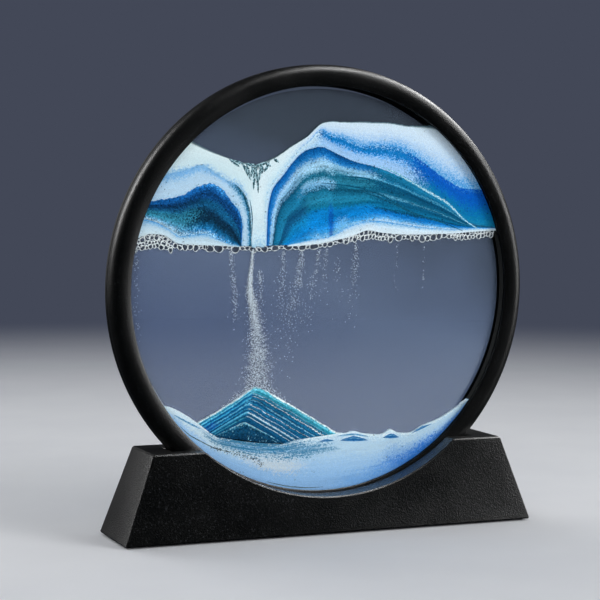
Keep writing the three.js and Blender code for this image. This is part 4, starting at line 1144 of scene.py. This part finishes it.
streamPlaces = grainPlaces()
stream = scatterGrains("stream", streamPlaces, streamLook["grain"], streamLook["grainSeed"])
settle(stream, "fallingSand", "ring_frame", looseSand, ["falling_sand"])
trail = scatterGrains("trail", trailPlaces(), trailLook["grain"], trailLook["grainSeed"])
settle(trail, "darkTrail", "ring_frame", looseGrains("darkQuartz", trailLook["colour"]))
print(len(streamPlaces), "falling grains done")

# Base: a tapered moulding with a slot for the ring and a curved window front and back
baseLook = {
    "topLength": 151, "topDepth": 28, "cornerBevel": 0.9, "edgeBevel": 0.55, "slotClearance": 0.5,
    "troughClearance": 0.3, "windowDrop": 7.7, "sides": 240, "plateGap": 0.1, "plateClearance": 0.6,
}


def makeBase():
    low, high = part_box("base_shell")
    size = high - low
    clearSelection()
    bpy.ops.mesh.primitive_cube_add(size=1, location=(low + high) / 2, scale=size)
    base = bpy.context.object
    applyPlace(base)
    editFaces(base, lambda middle, normal: normal.z > 0.9)
    taper = (baseLook["topLength"] * mm / size.x, baseLook["topDepth"] * mm / size.y, 1)
    bpy.ops.transform.resize(value=taper, center_override=(0, 0, high.z))
    objectMode()
    editEdges(base, lambda a, b: abs(a.z - b.z) > 0.5 * size.z)
    bpy.ops.mesh.bevel(offset=baseLook["cornerBevel"] * mm, segments=3)
    objectMode()
    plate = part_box("base_plate")[1]
    pocket = (2 * plate.x + baseLook["plateClearance"] * mm, 2 * plate.y + baseLook["plateClearance"] * mm,
              plate.z + baseLook["plateGap"] * mm)
    clearSelection()
    bpy.ops.mesh.primitive_cube_add(size=1, location=(0, 0, pocket[2] / 2), scale=pocket)
    cutAway(base, bpy.context.object)
    slotWidth = 2 * (halfDepth + baseLook["slotClearance"])
    cutAway(base, axleRod(ringRadius + baseLook["troughClearance"], slotWidth, baseLook["sides"]))
    cutAway(base, axleRod(sillRadius, 3 * size.y / mm, baseLook["sides"]))  # well past the front and back
    useModifier(base, "BEVEL", width=baseLook["edgeBevel"] * mm, segments=1, limit_method="ANGLE",
                angle_limit=math.radians(35))
    settle(base, "baseShell", "base", baseAbs, ["base_shell"], sharp=20)


sillRadius = ringRadius - baseLook["windowDrop"]
# the sill's edge takes a paler tone there, a painted highlight line
baseAbs = blackAbs("blackAbsGrained", grain=0.55, relief=0.65, edgeRadius=sillRadius, paintedHighlightTone="#1a1c1f")
makeBase()
basePlate = frame["nodes"]["base_plate"]
basePlate.data.materials.clear()
basePlate.data.materials.append(baseAbs)
print("base done")

# Screws with a cross recess and rubber feet, each modelled once and copied
screwLook = {
    "sides": 32, "head": 1.1, "shank": 1.2, "rounding": 0.4, "recess": 0.45, "slotLength": 2.6, "slotWidth": 0.55,
}
footLook = {"sides": 48, "rounding": 0.3, "ringInset": 1.1, "ringSlope": 0.2, "ringRecess": 0.15}
cornerNames = ["front_left", "front_right", "rear_left", "rear_right"]


# An upright rod that stands at a given height, rounded at its lower edge.
def makeStud(low, radius, depth, middle, look, segments):
    clearSelection()
    bpy.ops.mesh.primitive_cylinder_add(vertices=look["sides"], radius=radius, depth=depth,
                                        location=(middle.x, middle.y, low.z + depth / 2))
    stud = bpy.context.object
    applyPlace(stud)
    editEdges(stud, lambda a, b: max(a.z, b.z) < low.z + depth / 2)
    bpy.ops.mesh.bevel(offset=look["rounding"] * mm, segments=segments)
    objectMode()
    return stud


# Copies of a piece made at the first corner, each where its own node is.
def copyToCorners(model, low, nodeStart, nameStart, material):
    for corner in cornerNames:
        node = nodeStart + corner
        copy = addObject(node, model.data.copy())
        copy.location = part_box(node)[0] - low
        settle(copy, nameStart + corner, "base", material, [node])
    bpy.data.objects.remove(model)


def makeScrews():
    low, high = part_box("base_screw_front_left")
    radius, head, middle = (high.x - low.x) / 2, screwLook["head"] * mm, (low + high) / 2
    screw = makeStud(low, radius, head, middle, screwLook, 4)
    editFaces(screw, lambda spot, normal: normal.z > 0.9)
    bpy.ops.mesh.inset(thickness=radius - screwLook["shank"] * mm)
    bpy.ops.mesh.extrude_region_shrink_fatten(TRANSFORM_OT_shrink_fatten={"value": high.z - low.z - head})
    objectMode()
    for turn in (0, math.pi / 2):
        clearSelection()
        bpy.ops.mesh.primitive_cube_add(
            size=1, location=(middle.x, middle.y, low.z), rotation=(0, 0, turn),
            scale=(screwLook["slotLength"] * mm, screwLook["slotWidth"] * mm, 2 * screwLook["recess"] * mm))
        cutAway(screw, bpy.context.object)
    copyToCorners(screw, low, "base_screw_", "screw_", steel)


def makeFeet():
    low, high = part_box("foot_front_left")
    foot = makeStud(low, (high.x - low.x) / 2, high.z - low.z, (low + high) / 2, footLook, 3)
    editFaces(foot, lambda spot, normal: normal.z < -0.99)
    bpy.ops.mesh.inset(thickness=footLook["ringInset"] * mm)
    bpy.ops.mesh.inset(thickness=footLook["ringSlope"] * mm, depth=-footLook["ringRecess"] * mm)
    objectMode()
    copyToCorners(foot, low, "foot_", "rubberFoot_", footRubber)


steel = platedSteel("zincPlatedSteel")
footRubber = dustyRubber("footRubber", "#101113", "#26272a")
makeScrews()
makeFeet()
print("screws and feet done")

# Camera, matched to the photograph by its edges
cameraLook = {
    "turn": -0.391, "lift": 0.067, "roll": 0.005, "distance": 757.3, "target": (-9.12, 0, 93.1), "lens": 112.7,
    "sensor": 36,
}


def makeCamera():
    bpy.ops.object.camera_add()
    camera = bpy.context.object
    turn = Matrix.Rotation(cameraLook["turn"], 4, "Z") @ Matrix.Rotation(math.pi / 2 - cameraLook["lift"], 4, "X")
    turn = turn @ Matrix.Rotation(cameraLook["roll"], 4, "Z")
    back = turn @ Vector((0, 0, cameraLook["distance"] * mm))
    camera.matrix_world = Matrix.Translation(Vector(cameraLook["target"]) * mm + back) @ turn
    camera.data.lens = cameraLook["lens"]
    camera.data.sensor_width = cameraLook["sensor"]
    bpy.context.scene.camera = camera


# Pale floor that fades with distance into the backdrop's grey, the same on every side
stageLook = {
    "floor": ["#d8dade", "#dfe1e4"], "fibre": 60, "radius": 6.0, "sides": 96, "near": 0.2, "far": 1.1,
    "backdrop": "#434857", "sky": "#e4e6ea", "light": 0.5,
    "mirrored": "#1d2026",  # what black parts and glass mirror, as in a dark studio
}


def makeStage():
    material, tree, spot = newMaterial("palePaper")
    fibre = addNode(tree, "TexNoise", {"Vector": spot, "Scale": 1 / (stageLook["fibre"] * mm), "Detail": 3})
    tone = addNode(tree, "ValToRGB", {0: fibre.outputs[0]}, stops=zip((0.2, 0.8), stageLook["floor"]))
    paper = addNode(tree, "BsdfPrincipled", {
        "Base Color": tone.outputs[0], "Roughness": 0.7, "Specular IOR Level": 0.15})
    haze = addNode(tree, "Emission", {"Color": linear(stageLook["backdrop"]), "Strength": 1.0})
    away = addNode(tree, "VectorMath", {0: spot}, operation="LENGTH")
    fade = addNode(tree, "MapRange", {0: away.outputs["Value"], 1: stageLook["near"], 2: stageLook["far"]},
                   interpolation_type="SMOOTHSTEP")
    mix = addNode(tree, "MixShader", {0: fade.outputs[0], 1: paper.outputs[0], 2: haze.outputs[0]})
    ray = addNode(tree, "LightPath")
    shade = addNode(tree, "Emission", {"Color": linear(stageLook["mirrored"]), "Strength": 1.0})
    seen = addNode(tree, "MixShader", {0: ray.outputs["Is Glossy Ray"], 1: mix.outputs[0], 2: shade.outputs[0]})
    addNode(tree, "OutputMaterial", {0: seen.outputs[0]})
    clearSelection()
    bpy.ops.mesh.primitive_circle_add(vertices=stageLook["sides"], radius=stageLook["radius"], fill_type="NGON")
    floor = bpy.context.object
    floor.name = "floor"
    floor.data.materials.append(material)


# Soft boxes: where each stands, how large it is and how strong. The large ones light the sand and the floor and
# leave no glare on black; the others only draw highlights.
lampLook = [
    {"name": "keyBox", "at": (1.1, -1.35, 0.75), "size": (0.9, 0.8), "power": 20.5, "glare": False},
    {"name": "fillBox", "at": (-0.8, -1.5, 0.7), "size": (1.4, 1.4), "power": 10, "glare": False},
    {"name": "rearBox", "at": (-0.7, 1.6, 0.8), "size": (1.4, 1.2), "power": 15, "glare": False},
    {"name": "sideBox", "at": (1.1, -0.38, 0.52), "size": (0.5, 1.0), "power": 15, "glare": True},
    {"name": "topBox", "at": (0.42, -0.32, 1.15), "size": (0.4, 0.4), "power": 4.5, "glare": True},
    {"name": "edgeBox", "at": (0.56, -0.04, 1.16), "size": (0.3, 0.3), "power": 7, "glare": True},
    {"name": "rightRimBox", "at": (0.9, 0.36, 0.78), "size": (0.5, 0.45), "power": 11, "glare": True},
    {"name": "leftRimBox", "at": (-0.94, 0.7, 0.75), "size": (0.24, 0.7), "power": 15, "glare": True},
    {"name": "backBox", "at": (-0.42, 1.15, 0.34), "size": (0.9, 0.6), "power": 0.4, "glare": True},
]


def makeLights():
    for look in lampLook:
        bpy.ops.object.light_add(type="AREA", location=look["at"])
        lamp = bpy.context.object
        lamp.name = look["name"]
        lamp.data.shape = "RECTANGLE"
        lamp.data.size, lamp.data.size_y = look["size"]
        lamp.data.energy = look["power"]
        lamp.visible_camera = False
        lamp.visible_transmission = False
        lamp.visible_glossy = look["glare"]
        lamp.visible_diffuse = not look["glare"]
        aim = ringCentre - Vector(look["at"])
        lamp.rotation_euler = aim.to_track_quat("-Z", "Y").to_euler()
    world = bpy.data.worlds.new("studio")
    world.use_nodes = True
    tree = world.node_tree
    tree.nodes.clear()
    soft = addNode(tree, "Background", {0: linear(stageLook["sky"]), 1: stageLook["light"]})
    wall = addNode(tree, "Background", {0: linear(stageLook["backdrop"]), 1: 1.0})
    dark = addNode(tree, "Background", {0: linear(stageLook["mirrored"]), 1: 1.0})
    ray = addNode(tree, "LightPath")
    unseen = addNode(tree, "MixShader", {0: ray.outputs["Is Glossy Ray"], 1: soft.outputs[0], 2: dark.outputs[0]})
    seen = addNode(tree, "Math", {0: ray.outputs["Is Camera Ray"], 1: ray.outputs["Is Transmission Ray"]},
                   operation="MAXIMUM")
    mix = addNode(tree, "MixShader", {0: seen.outputs[0], 1: unseen.outputs[0], 2: wall.outputs[0]})
    addNode(tree, "OutputWorld", {0: mix.outputs[0]})
    bpy.context.scene.world = world


makeCamera()
makeStage()
makeLights()
bpy.context.scene.view_settings.view_transform = "Standard"
print("camera, floor and lights done")
